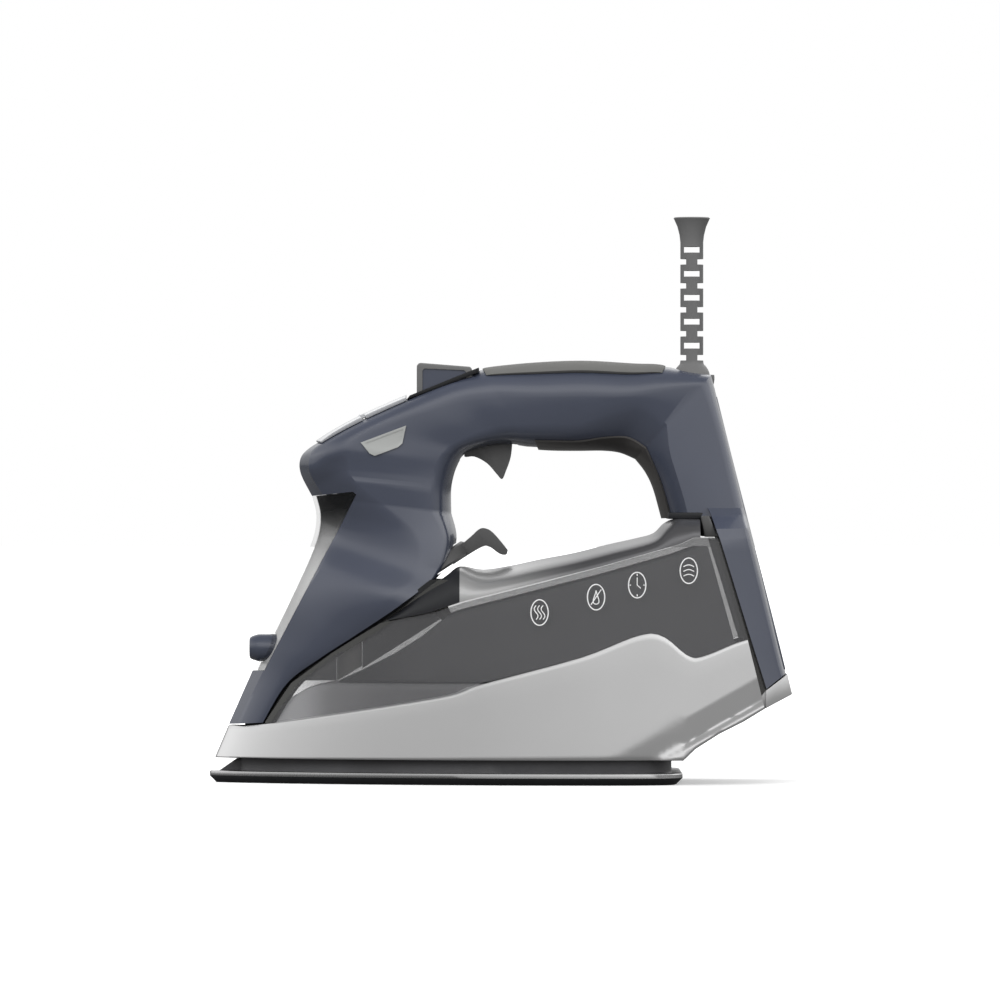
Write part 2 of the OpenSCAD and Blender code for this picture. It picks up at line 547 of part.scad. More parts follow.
// Rows of the cover: [x, top z, half width of its flat top]
cover_rows = [
    [-53, 79, 24], [-40, 88.8, 27.5], [-26, 98.6, 28], [-19, 103.4, 24], [-8, 102, 8],
    [5, 103.8, 4], [20, 107, 4], [36, 110, 4], [52, 114, 4], [66, 117.1, 6], [74, 119.4, 12],
    [79, 124, 20], [84, 126.2, rear_half_w - 3],
    [92, 126.2, rear_half_w - 2], [95.4, 126.2, rear_half_w - 1]];
function cover_ring(row, inset) = let (
        x = row[0], z0 = lookup(x, groove_edge) + gap, z1 = max(z0 + 0.2, row[1] - inset),
        edge = body_half(x, z0) - inset, top = max(1, min(row[2], edge - 0.5) - inset / 2),
        n = 2.2,
        side = [for (k = [0 : corner_steps]) let (a = 90 * k / corner_steps)
            [x, top + (edge - top) * pow(cos(a), 2 / n), z0 + (z1 - z0) * pow(sin(a), 2 / n)]])
    concat([for (p = side) [p[0], -p[1], p[2]]], [for (i = [len(side) - 1 : -1 : 0]) side[i]]);
module tank_top_cover() {
    color("#6f7073") difference() {
        skin([for (row = cover_rows) cover_ring(row, 0)],
            [for (row = cover_rows) cover_ring(row, cover_wall)]);
        on_dial_axis() translate([0, 0, -90]) cylinder(r = shaft_hole_r, h = 88);
        translate([neck_x, 0, 60]) cylinder(r = neck_r + gap, h = 60);
    }
}
module tank_latch() {
    color("#3a3b3d") for (s = [0, 1]) mirror([0, s, 0])
        prism([[95.8, 127.6], [99.6, 128], [103.6, 117.8], [97.4, 117.8]], rear_half_w + 2, rear_half_w + 9);
}

// ---------------------------------------------------------------- filler
neck_x = -72;
neck_r = 6;
neck_wall = 1.5;
neck_top_z = 167.3;
module filler_neck() {
    slope = (tank_brow[1] - tank_foot[1]) / (tank_brow[0] - tank_foot[0]);
    function seat_z(x) = tank_foot[1] + slope * (x - tank_foot[0]) + 2 * gap;
    color("#8b8f94") difference() {
        translate([neck_x, 0, 45]) cylinder(r = neck_r, h = neck_top_z - 45);
        translate([neck_x, 0, 40]) cylinder(r = neck_r - neck_wall, h = 140);
        prism([[neck_x - 20, 30], [neck_x - 20, seat_z(neck_x - 20)], [neck_x + 20, seat_z(neck_x + 20)],
            [neck_x + 20, 30]], -far, far);
    }
}

// ---------------------------------------------------------------- body shells
ball_centre = [heel_top[0] - 9.2, 0, heel_top[1] - 1.5];
yoke_r = ball_r + gap + yoke_wall;      // outer radius of the swivel yoke
button_x = [-39.4, -39.4 + button_len];
button_pitch = button_w / 2 + gap + 0.5;
bezel_line = [[-45.5, 185.2], [-9.8, 196.3]];   // underside of the bezel
bezel_t = 2.4;
bezel_half_w = button_pitch + button_w / 2 + 2;
window_cols_n = 2;                // columns of the prow window to each side of the middle
pump_x = -34;
pump_y = button_pitch + 1.6;
pump_floor_z = 128;
pump_top_z = 160;
trigger_axis = [-11, 166];
spring_seat_z = 175;
board_z = 180;
block_floor_z = 138;
clamp_z = 168;
nozzle_z = 64.5;
nozzle_r = 6.6;
module on_heel() {                      // local X is the heel-rest face's outward normal, local Z runs up it
    translate([heel_foot[0], 0, heel_foot[1]]) rotate([0, -heel_lean, 0]) children();
}
cover_plate = [[12, 36], [40, 35], [84, 22], [118, 13], [146, 12]];     // [way up the heel, half width]
module heel_plate_outline(grow) {
    rotate([90, 0, 90]) linear_extrude(50) polygon(concat([for (p = cover_plate) [p[1] + grow, p[0]]],
        [for (i = [len(cover_plate) - 1 : -1 : 0]) [-cover_plate[i][1] - grow, cover_plate[i][0]]]));
}
rear_cover_t = 2.2;
rear_screw_ups = [24, 112];
rear_screw_r = 1.9;
module shell_cuts() {
    // window opening
    arch_patch(window_rows, window_cols_n, -2, shell_wall + 3);
    // buttons, bezel and what hangs below them
    prism([bezel_line[0], bezel_line[1], [bezel_line[1][0], far], [bezel_line[0][0], far]],
        -bezel_half_w - gap, bezel_half_w + gap);
    translate([button_x[0] - 1, -bezel_half_w + 1, 180]) cube([button_len + 2, 2 * bezel_half_w - 2, 40]);
    // filler
    translate([neck_x, 0, 50]) cylinder(r = neck_r + gap, h = 150);
    // dial and its shaft
    on_dial_axis() translate([0, 0, -dial_t / 2 - 0.5]) cylinder(r = dial_r + 0.6, h = dial_t + 1);
    on_dial_axis() translate([0, 0, -60]) cylinder(r = shaft_hole_r, h = 60);
    // trigger slot
    translate([-19, -trigger_w / 2 - 0.6, 145]) cube([28, trigger_w + 1.2, 22]);
    // ball socket and the mouth above it
    translate(ball_centre) sphere(r = yoke_r + gap);
    translate(ball_centre) cylinder(r = ball_r + 0.6, h = 30);
    // spray nozzle
    translate([-125, 0, nozzle_z]) rotate([0, 90, 0]) cylinder(r = nozzle_r + 0.6, h = 25);
    // rear cover's recess
    on_heel() translate([-rear_cover_t - 0.1, 0, 0]) heel_plate_outline(gap);
    on_heel() for (up = rear_screw_ups) translate([-14, 0, up]) rotate([0, 90, 0])
        cylinder(r = rear_screw_r + 0.05, h = 14);
}
module shell_half() {
    ribs_w = pillar_half_w - 2;
    difference() {
        union() {
            skin(arch_grid(arch_rows, 0), arch_grid(arch_rows, shell_wall));
            skin(arch_grid(smooth(band_rows, 1), 0), arch_grid(smooth(band_rows, 1), shell_wall));
            // pump shelf
            translate([pump_x - pump_r - 3, 0, pump_floor_z - 3]) cube([pump_r * 2 + 7, ribs_w, 3]);
            // supports of the control board
            for (x = [20, 56]) translate([x, 8, board_z - 8]) cube([4, handle_half_w - 10, 8 - gap]);
            // shelf of the terminal block and of the cord clamp
            translate([82, 0, block_floor_z - 3]) cube([28, rear_half_w - 6, 3 - gap]);
            translate([84, 6, clamp_z - 3]) cube([20, handle_half_w - 6, 3 - gap]);
            // boss of the trigger's pin and seat of its spring
            translate([trigger_axis[0], trigger_w / 2 + 0.6, trigger_axis[1]]) rotate([-90, 0, 0])
                cylinder(r = 3.4, h = handle_half_w - trigger_w / 2 - 4.3);
            translate([-4, 0, spring_seat_z]) cube([10, handle_half_w - 2, 2]);
            // bosses of the rear cover's screws
            on_heel() for (up = rear_screw_ups) translate([-13, 0, up]) rotate([0, 90, 0])
                cylinder(r = 4.5, h = 12);
        }
        shell_cuts();
        translate([-far, -far, -1]) cube([2 * far, far, far]);
        translate([trigger_axis[0], 0, trigger_axis[1]]) rotate([-90, 0, 0])
            cylinder(r = trigger_pin_r + 0.05, h = handle_half_w - 5);
    }
}
module main_shell_right() { color("#4a5163") shell_half(); }
module main_shell_left() { color("#4a5163") mirror([0, 1, 0]) shell_half(); }

module rear_cover() {
    color("#454c5e") difference() {
        on_heel() translate([-rear_cover_t, 0, 0]) intersection() {
            heel_plate_outline(0);
            translate([0, -far, 0]) cube([rear_cover_t, 2 * far, far]);
        }
        on_heel() for (up = rear_screw_ups) translate([-5, 0, up]) rotate([0, 90, 0]) {
            cylinder(r = rear_screw_r + 0.2, h = 10);
            translate([0, 0, 5 - 1.2]) cylinder(r = 3.8, h = 5);
        }
    }
}
module rear_cover_screws() {
    color("#b5b7ba") on_heel() for (up = rear_screw_ups) translate([0, 0, up]) rotate([0, 90, 0])
        difference() {
        union() {
            translate([0, 0, -12]) cylinder(r = rear_screw_r, h = 11.5);
            translate([0, 0, -1.1]) cylinder(r = 3.5, h = 0.9);
        }
        translate([-2.2, -0.4, -0.6]) cube([4.4, 0.8, 2]);
        translate([-0.4, -2.2, -0.6]) cube([0.8, 4.4, 2]);
    }
}

// ---------------------------------------------------------------- prow window, deck and lid
module nozzle_hole() {
    translate([-130, 0, nozzle_z]) rotate([0, 90, 0]) cylinder(r = nozzle_r + gap, h = 30);
}
module front_window() {
    color("#d5d9dd") difference() {
        arch_patch(window_rows, window_cols_n, 0, 1.8, 0.7);
        nozzle_hole();
    }
}
module front_backing() {
    color("#e9eaec") difference() {
        arch_patch(window_rows, window_cols_n, 2.2, 4, 1.4);
        nozzle_hole();
    }
}
deck_cols_n = 5;
deck_lift = 0.6;                // lift of the deck and lid off the shells
lid_knuckle_r = 1.1;
lid_pin_r = 0.55;
function outer_edge(i) = [arch_rows[i][0], arch_rows[i][1]];
hinge_way = outer_edge(hinge_at + 1) - outer_edge(hinge_at - 1);
hinge_t = hinge_way / norm(hinge_way);
hinge_n = [-hinge_t[1], hinge_t[0]];
lid_axis = outer_edge(hinge_at) + hinge_n * (lid_knuckle_r + gap + 0.05);
module along_lid_axis(y0, y1, r) {
    translate([lid_axis[0], y1, lid_axis[1]]) rotate([90, 0, 0]) cylinder(r = r, h = y1 - y0);
}
// Block that reaches from a distance behind the hinge axis towards the heel, or in front of it
// towards the tip
module past_hinge(distance, side) {
    c = lid_axis + hinge_t * side * distance;
    prism([for (p = [[-1, 0], [1, 0], [1, far], [-1, far]]) c + hinge_n * 20 * p[0] + hinge_t * side * p[1]],
        -far, far);
}
lid_half = 9;
module top_deck() {
    ear = 2.2;
    color("#e6e7e9") difference() {
        union() {
            intersection() {
                arch_patch(deck_rows, deck_cols_n, -deck_t - deck_lift, -deck_lift);
                past_hinge(lid_knuckle_r + gap, 1);
            }
            for (y = [-lid_half - gap - ear, lid_half + gap]) {
                along_lid_axis(y, y + ear, lid_knuckle_r);
                translate([lid_axis[0], y, lid_axis[1]]) rotate([0, -atan2(hinge_t[1], hinge_t[0]), 0])
                    translate([0, 0, -0.9]) cube([3, ear, 1.8]);
            }
        }
        along_lid_axis(-lid_half - ear - 1, lid_half + ear + 1, lid_pin_r + 0.03);
        translate([bezel_line[0][0] - gap, -far, 0]) cube(2 * far);
    }
}
module filler_lid() {
    color("#eceded") difference() {
        union() {
            difference() {
                arch_patch(lid_rows, deck_cols_n, -deck_t - deck_lift, -deck_lift);
                past_hinge(0, 1);
                for (y = [-lid_half - 30, lid_half]) translate([lid_axis[0] - 2, y, lid_axis[1] - 30])
                    cube([20, 30, 40]);
            }
            along_lid_axis(-lid_half, lid_half, lid_knuckle_r);
            // plug over the filler's mouth
            translate([neck_x, 0, neck_top_z]) rotate([0, -atan2(hinge_t[1], hinge_t[0]), 0])
                translate([0, 0, 0.4]) cylinder(r = 3.2, h = 4.4);
        }
        along_lid_axis(-lid_half - 1, lid_half + 1, lid_pin_r + 0.05);
    }
}
module lid_pin() {
    color("#c8c8c8") along_lid_axis(-lid_half - 2, lid_half + 2, lid_pin_r);
}

// ---------------------------------------------------------------- spray nozzle
module spray_nozzle() {
    tip_x = -120;
    color("#3d4456") translate([tip_x, 0, nozzle_z]) rotate([0, 90, 0]) difference() {
        union() {
            rotate_extrude()
                polygon([[0, 0], [4.6, 0], [5.6, 1.2], [nozzle_r, 4.5], [nozzle_r, 14], [0, 14]]);
            translate([0, 0, 12]) cylinder(r = 3, h = 12);
        }
        translate([0, 0, -1]) cylinder(r = 0.8, h = 30);
        translate([0, 0, -1]) cylinder(r = 2, h = 2);
    }
}

// ---------------------------------------------------------------- buttons, plungers, springs, pumps
module button_bezel() {
    low = bezel_line[0];
    high = bezel_line[1];
    color("#2c2f36") difference() {
        prism([low, high, high + [0, bezel_t], low + [0, bezel_t]], -bezel_half_w, bezel_half_w);
        for (s = [-1, 1]) translate([button_x[0] - gap, s * button_pitch - button_w / 2 - gap, 150])
            cube([button_len + 2 * gap, button_w + 2 * gap, 80]);
    }
}
button_foot_z = 182;
module button(s) {
    color("#75767a") difference() {
        prism([[button_x[0], button_foot_z], [button_x[1], 190], [button_x[1], button_top_z - 1.4],
            [button_x[0] + 14, button_top_z - 1.2], [button_x[0] + 2, button_top_z],
            [button_x[0], button_top_z - 1.5]],
            s * button_pitch - button_w / 2, s * button_pitch + button_w / 2);
        translate([pump_x, s * pump_y, 170]) cylinder(r = plunger_r, h = button_foot_z + 6 - 170);
    }
}
module plunger(s) {
    color("#d9d9d6") translate([pump_x, s * pump_y, 0]) union() {
        translate([0, 0, pump_top_z - 14]) cylinder(r = plunger_r, h = button_foot_z + 6 - pump_top_z + 14);
        translate([0, 0, pump_floor_z + 5 + button_travel])
            cylinder(r = pump_r - 1.8, h = pump_top_z - 14 - pump_floor_z - 4.5 - button_travel);
    }
}
module pump(s) {
    color("#c9c5b8") translate([pump_x, s * pump_y, 0]) difference() {
        translate([0, 0, pump_floor_z + gap]) cylinder(r = pump_r, h = pump_top_z - pump_floor_z - gap);
        translate([0, 0, pump_floor_z + 2.5]) cylinder(r = pump_r - 1.5, h = pump_top_z - pump_floor_z - 4.5);
        translate([0, 0, pump_top_z - 4]) cylinder(r = plunger_r + 0.3, h = 10);
    }
}
// A coil spring: wire of radius w in turns of radius r, from z0 to z1
module coil(r, w, turns, z0, z1) {
    steps = 12 * turns;
    ring = [for (k = [0 : 5]) [cos(60 * k), sin(60 * k)]];
    loft([for (i = [0 : steps]) let (a = 30 * i, z = mix(z0 + w, z1 - w, i / steps))
        [for (p = ring) [(r + w * p[0]) * cos(a), (r + w * p[0]) * sin(a), z + w * p[1]]]]);
}
module button_spring(s) {
    color("#b9bcc0") translate([pump_x, s * pump_y, 0])
        coil(plunger_r + spring_wire_r + 0.5, spring_wire_r, 6, pump_top_z + 0.2, button_foot_z - 0.2);
}
module spray_button() { button(-1); }
module steam_button() { button(1); }
module spray_plunger() { plunger(-1); }
module steam_plunger() { plunger(1); }
module spray_pump() { pump(-1); }
module steam_pump() { pump(1); }
module spray_spring() { button_spring(-1); }
module steam_spring() { button_spring(1); }

// ---------------------------------------------------------------- hoses and leads
function unit(v) = v / norm(v);
// Round tube along a path of points that never runs across the body
module tube(path, r) {
    last = len(path) - 1;
    loft([for (i = [0 : last]) let (
            t = unit(path[min(i + 1, last)] - path[max(i - 1, 0)]),
            side = unit(cross([0, 1, 0], t)),
            other = cross(t, side))
        [for (k = [0 : 7]) path[i] + r * (cos(45 * k + 22.5) * other + sin(45 * k + 22.5) * side)]]);
}
spray_path = [[-40.4, -pump_y, 146], [-48, -8, 146.4], [-60, -9.5, 147], [-72, -9.5, 146], [-79.4, -6, 143],
    [-81.8, -1.4, 137], [-80.9, 0, 130], [-81.6, 0, 120], [-85, 0, 110], [-89.4, 0, 100], [-93, 0, 90],
    [-96, 0, 80], [-97.5, 0, 72], [-97.6, 0, 67.6]];
steam_path = [[-40.4, pump_y, 134], [-46, pump_y + 1, 133.5], [-52, 12.5, 129], [-58, 13, 119],
    [-64, 13, 108], [-70.5, 12, 96], [-75.5, 11, 88], [-76.5, 10.5, 79]];
module spray_hose() { color("#d9d6cc") tube(smooth(spray_path, 2), 1.6); }
module steam_hose() { color("#d9d6cc") tube(smooth(steam_path, 2), 1.6); }
lead_path = [[83.4, 0, 146], [80.5, 0, 147.5], [79.6, 0, 153], [78.5, 0, 162], [74.5, 0, 172],
    [68.5, 0, 180.2], [66.2, 0, 181.2]];
module power_leads() {
    color("#7a3b34") for (s = [-1, 1]) translate([0, 5 * s, 0]) tube(smooth(lead_path, 2), 1.2);
}

// ---------------------------------------------------------------- trigger
module steam_trigger() {
    color("#56575a") difference() {
        prism([[-17, 156.4], [-12, 156.2], [-6, 153], [-1, 147.6], [1.2, 145.4], [3, 149], [5.4, 156],
            [6.2, 163.5], [-6, 163.5], [-7, 169.5], [-14.5, 169.5], [-15.5, 163]],
            -trigger_w / 2, trigger_w / 2);
        translate([trigger_axis[0], -20, trigger_axis[1]]) rotate([-90, 0, 0])
            cylinder(r = trigger_pin_r + 0.05, h = 40);
    }
}
module trigger_pin() {
    color("#c4c6c9") translate([trigger_axis[0], -trigger_w / 2 - 6, trigger_axis[1]]) rotate([-90, 0, 0])
        cylinder(r = trigger_pin_r, h = trigger_w + 12);
}
module trigger_spring() {
    color("#b9bcc0") translate([1, 0, 0]) coil(3, spring_wire_r, 5, 163.7, spring_seat_z - 0.2);
}

// ---------------------------------------------------------------- grip, trim, inlays
grip_cols_n = 3;
module handle_grip() {
    n = len(grip_rows) - 1;
    skin_gap = 0.15;
    function thickness(i) = 0.3 + (grip_t - 0.3) * pow(sin(180 * i / n), 0.5);
    color("#6b6c6c") skin(
        [for (i = [0 : n]) saddle([grip_rows[i]], grip_cols_n, -skin_gap - thickness(i))[0]],
        [for (i = [0 : n]) saddle([grip_rows[i]], grip_cols_n, -skin_gap)[0]]);
}
trim_cols_n = 3;
module handle_trim() {
    color("#8a8c8f") skin(saddle(trim_rows, trim_cols_n, -trim_t - 0.2, true),
        saddle(trim_rows, trim_cols_n, -0.2, true));
}
inlay_outline = [[-66.2, 162.8], [-44.6, 170.9], [-46.4, 162.4], [-48.4, 160.6], [-59.6, 156.4],
    [-62, 157.6]];
module side_inlays() {
    color("#b9babc") intersection() {
        for (s = [0, 1]) mirror([0, s, 0]) {
            skin(some_cols(arch_grid(inlay_rows, -1), 2, 11), some_cols(arch_grid(inlay_rows, -0.15), 2, 11));
        }
        prism(inlay_outline, -60, 60);
    }
}

// ---------------------------------------------------------------- temperature dial
module temperature_dial() {
    color("#6c6d6f") difference() {
        union() {
            on_dial_axis() translate([0, 0, -dial_t / 2]) cylinder(r = dial_r, h = dial_t);
            prism([[-24, 109.2], [-14, 117.6], [-10, 121.2], [-7, 121.8], [-3, 119.6], [4, 111.4],
                [3.2, 109.2], [0, 109.6], [-5, 113], [-9, 112.6], [-22, 104.6]],
                -dial_tab_w / 2, dial_tab_w / 2);
        }
        on_dial_axis() translate([0, 0, -dial_t]) cylinder(r = dial_shaft_r + 0.03, h = dial_t / 2 + 0.4);
    }
}

// ---------------------------------------------------------------- electrics
module control_board() {
    color("#3f7a4d") union() {
        translate([14, -11, board_z]) cube([52, 22, 1.6]);
        translate([24, -7, board_z + 1.4]) cube([12, 10, 7]);
        translate([44, -2, board_z + 1.4]) cylinder(r = 4, h = 8);
    }
}
module terminal_block() {
    color("#e8e6df") difference() {
        translate([84, -14, block_floor_z + gap]) cube([14, 28, 12]);
        for (y = [-9, 0, 9]) translate([82, y, block_floor_z + 6]) rotate([0, 90, 0]) cylinder(r = 2, h = 20);
    }
}
clamp_screw_y = 9;
module cord_clamp() {
    color("#dcdcd8") difference() {
        translate([86, -13, clamp_z]) cube([12, 26, 5]);
        translate([92, 0, clamp_z - 1]) cylinder(r = cord_bore_r, h = 8);
        for (s = [-1, 1]) translate([92, s * clamp_screw_y, clamp_z - 1]) cylinder(r = 1.7, h = 8);
    }
}
module clamp_screws() {
    color("#c2c4c7") for (s = [-1, 1]) translate([92, s * clamp_screw_y, clamp_z]) union() {
        cylinder(r = 1.6, h = 5.2);
        translate([0, 0, 5]) cylinder(r = 2.8, h = 1.8);
    }
}

// ---------------------------------------------------------------- swivel and guard
module swivel_yoke() {
    color("#8f9194") translate(ball_centre) difference() {
        sphere(r = yoke_r);
        sphere(r = ball_r + gap);
        translate([-far, -far, 1.5]) cube(2 * far);
        cylinder(r = 6, h = 60, center = true);
    }
}
guard_top_z = 271;
flare_h = 12;
bore_len = 13;                  // length of the mouth's bore that is true to size
module cord_guard() {
    base = ball_centre[2];
    slots = 5;
    color("#7b7c7e") difference() {
        union() {
            translate(ball_centre) sphere(r = ball_r);
            translate([ball_centre[0], 0, base]) cylinder(r = guard_r, h = guard_top_z - base - 1);
            translate([ball_centre[0], 0, guard_top_z - flare_h])
                cylinder(r1 = guard_r, r2 = guard_mouth_r, h = flare_h);
        }
        translate([ball_centre[0], 0, base - 20]) cylinder(r = cord_bore_r, h = 120);
        translate([ball_centre[0], 0, base - 20])
            cylinder(r = cord_bore_r + 0.4, h = guard_top_z - bore_len - base + 20);
        for (k = [0 : slots - 1]) {
            // through slots, and the notches from both sides between them
            translate([ball_centre[0] - 3.8, -20, guard_top_z - 17 - k * slot_pitch]) cube([7.6, 40, 2.9]);
            for (s = [-1, 1])
                translate([ball_centre[0] + s * 5.6 - 3, -20, guard_top_z - 22.7 - k * slot_pitch])
                    cube([6, 40, 2.7]);
        }
    }
}

soleplate();
steam_casting();
chamber_cover();
chamber_gasket();
heating_element();
heat_shield();
casting_screws();
thermostat();
thermal_fuse();
lower_skirt();
heel_base();
skirt_liner();
water_tank();
tank_window();
tank_top_cover();
tank_latch();
drip_valve();
main_shell_left();
main_shell_right();
rear_cover();
rear_cover_screws();
front_window();
front_backing();
top_deck();
filler_lid();
lid_pin();
filler_neck();
spray_nozzle();
button_bezel();
spray_button();
steam_button();
spray_plunger();
steam_plunger();
spray_pump();
steam_pump();
spray_spring();
steam_spring();
spray_hose();
steam_hose();
power_leads();
steam_trigger();
trigger_pin();
trigger_spring();
handle_grip();
handle_trim();
side_inlays();
temperature_dial();
dial_shaft();
control_board();
terminal_block();
cord_clamp();
clamp_screws();
swivel_yoke();
cord_guard();
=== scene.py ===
"""Looks of a mains steam iron: shells, tank, soleplate and controls, dressed over the fixed CAD frame."""

import logging
import math
from dataclasses import dataclass
from enum import Enum
from typing import Callable, Optional, Sequence

import bpy
import numpy as np
from mathutils import Matrix, Vector


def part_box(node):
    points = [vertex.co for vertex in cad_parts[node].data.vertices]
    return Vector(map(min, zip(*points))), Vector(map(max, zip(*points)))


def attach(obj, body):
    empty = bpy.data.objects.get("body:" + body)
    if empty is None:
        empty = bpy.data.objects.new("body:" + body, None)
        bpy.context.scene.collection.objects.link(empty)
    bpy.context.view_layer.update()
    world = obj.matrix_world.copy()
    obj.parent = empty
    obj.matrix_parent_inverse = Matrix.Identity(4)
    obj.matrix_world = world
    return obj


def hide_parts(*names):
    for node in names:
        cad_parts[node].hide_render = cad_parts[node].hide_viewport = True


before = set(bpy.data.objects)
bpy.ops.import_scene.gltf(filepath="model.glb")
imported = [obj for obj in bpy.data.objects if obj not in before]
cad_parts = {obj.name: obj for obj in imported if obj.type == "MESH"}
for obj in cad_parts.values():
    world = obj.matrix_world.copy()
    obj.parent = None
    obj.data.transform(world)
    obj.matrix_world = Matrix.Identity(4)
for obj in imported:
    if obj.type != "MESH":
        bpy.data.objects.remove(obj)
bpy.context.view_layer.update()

log = logging.getLogger("iron")
MM = 0.001
FAR = 300.0
# Rods are turned by this many radians, so that none of their vertices lies on the middle plane, where cuts fail
ROD_TURN = 0.037

Pair = tuple[float, float]
Points = Sequence[Sequence[float]]
Grid = list[list[list[float]]]
Piece = bpy.types.Object
Tree = bpy.types.NodeTree
Socket = bpy.types.NodeSocket


class Body(str, Enum):
    """Bodies of the frame that pieces ride on."""

    HOUSING = "housing"
    SPRAY_BUTTON = "spray_button"
    STEAM_BUTTON = "steam_button"
    TRIGGER = "trigger"
    DIAL = "dial"
    LID = "lid"
    GUARD = "guard"


class Side(int, Enum):
    """Sides of the iron across its length."""

    RIGHT = 1
    LEFT = -1


# ---- numbers along tables and curves
def mix(a: float, b: float, t: float) -> float:
    """Value that lies the share t of the way from a to b."""
    return a + (b - a) * t


def look_up(table: Points, x: float) -> float:
    """Value at x in a table of (x, value) pairs, held level past both ends."""
    return float(np.interp(x, [p[0] for p in table], [p[1] for p in table]))


def smooth_rows(rows: Points, steps: int) -> list[list[float]]:
    """Catmull-Rom curve through rows of numbers.

    Args:
        rows: The rows that the curve runs through.
        steps: Steps between one row and the next.

    Returns:
        The rows along the curve, the given ones among them.
    """
    given = np.asarray(rows, float)
    last = len(given) - 1
    made = []
    for i in range(last):
        a, b, c, d = (given[max(0, min(last, k))] for k in (i - 1, i, i + 1, i + 2))
        for k in range(steps):
            t = k / steps
            made.append(0.5 * (2 * b + (c - a) * t + (2 * a - 5 * b + 4 * c - d) * t * t
                               + (3 * b - a - 3 * c + d) * t ** 3))
    made.append(given[last])
    return [list(row) for row in made]


def straight_rows(rows: Points, steps: int) -> list[list[float]]:
    """Rows with straight steps between each two."""
    made = [[mix(p, q, k / steps) for p, q in zip(a, b)] for a, b in zip(rows, rows[1:]) for k in range(steps)]
    return made + [list(rows[-1])]


def smooth_loop(points: Points, steps: int) -> list[list[float]]:
    """Closed Catmull-Rom curve through points; a point given twice stays a corner."""
    curve = smooth_rows([points[-1], *points, points[0], points[1]], steps)[steps:-2 * steps]
    return [p for k, p in enumerate(curve) if math.dist(p, curve[k - 1]) > 0.05]


# ---- modelling tools
def shifted(way: Sequence[float]) -> Matrix:
    """Matrix of a move by so many millimetres."""
    return Matrix.Translation(Vector(way) * MM)


def start_piece() -> None:
    """Leaves edit mode and selects nothing, so that the next primitive stands alone."""
    if bpy.context.object and bpy.context.object.mode != "OBJECT":
        bpy.ops.object.mode_set(mode="OBJECT")
    bpy.ops.object.select_all(action="DESELECT")


def activate(obj: Piece) -> None:
    """Makes obj the one selected and active object.

    Args:
        obj: The piece.
    """
    start_piece()
    obj.select_set(True)
    bpy.context.view_layer.objects.active = obj


def named(obj: Piece, name: str) -> Piece:
    """Gives obj and its mesh one name and returns obj."""
    obj.name = obj.data.name = name
    return obj


def edit_all(obj: Piece, *steps: Callable[[], object]) -> Piece:
    """Runs edit-mode operators on all of obj's mesh.

    Args:
        obj: The piece to edit.
        steps: Functions that each call one operator.

    Returns:
        The same piece.
    """
    activate(obj)
    bpy.ops.object.mode_set(mode="EDIT")
    bpy.ops.mesh.select_all(action="SELECT")
    for step in steps:
        step()
    bpy.ops.object.mode_set(mode="OBJECT")
    return obj


def tidy_mesh(obj: Piece, reach: float = 0.002) -> Piece:
    """Merges points that lie within reach millimetres and turns all faces outwards."""
    return edit_all(obj, lambda: bpy.ops.mesh.remove_doubles(threshold=reach * MM),
                    lambda: bpy.ops.mesh.normals_make_consistent(inside=False))


def add_modifier(obj: Piece, kind: str, **settings: object) -> Piece:
    """Adds one modifier with its settings and applies it.

    Args:
        obj: The piece that takes it.
        kind: Blender's name of the modifier type.
        settings: Values for the modifier's properties.

    Returns:
        The same piece.
    """
    modifier = obj.modifiers.new(kind.title(), kind)
    for key, value in settings.items():
        setattr(modifier, key, value)
    activate(obj)
    bpy.ops.object.modifier_apply(modifier=modifier.name)
    return obj


def round_edges(obj: Piece, width: float, segments: int = 3, angle: float = 35.0) -> Piece:
    """Rounds the edges that are sharper than angle degrees by width millimetres."""
    return add_modifier(obj, "BEVEL", width=width * MM, segments=segments, limit_method="ANGLE",
                        angle_limit=math.radians(angle), harden_normals=False, miter_outer="MITER_ARC")


def cut_away(obj: Piece, *cutters: Piece, operation: str = "DIFFERENCE") -> Piece:
    """Takes the cutters' volume out of obj and removes the cutters.

    Args:
        obj: The piece to cut.
        cutters: Closed meshes.
        operation: Blender's name of the cut.

    Returns:
        The same piece.
    """
    for cutter in cutters:
        add_modifier(obj, "BOOLEAN", object=cutter, operation=operation, solver="EXACT")
        bpy.data.objects.remove(cutter)
    return obj


def keep_within(obj: Piece, cutter: Piece) -> Piece:
    """Keeps only the part of obj inside the cutter and removes the cutter."""
    return cut_away(obj, cutter, operation="INTERSECT")


def join_pieces(name: str, pieces: Sequence[Piece]) -> Piece:
    """Joins pieces into the first and names it.

    Args:
        name: Name of the joined piece.
        pieces: The pieces.

    Returns:
        The joined piece.
    """
    start_piece()
    for piece in pieces:
        piece.select_set(True)
    bpy.context.view_layer.objects.active = pieces[0]
    bpy.ops.object.join()
    return named(pieces[0], name)


def sheet(name: str, points: Sequence[Points]) -> Piece:
    """Grid whose rows and columns are laid on the given points.

    Args:
        name: Name of the piece.
        points: Rows of columns of [x, y, z] in millimetres.

    Returns:
        The new object.
    """
    spots = np.asarray(points, float) * MM
    rows, cols = spots.shape[:2]
    start_piece()
    bpy.ops.mesh.primitive_grid_add(x_subdivisions=cols - 1, y_subdivisions=rows - 1, size=1)
    grid = bpy.context.active_object
    grid.data.vertices.foreach_set("co", spots.ravel())
    grid.data.update()
    return named(grid, name)


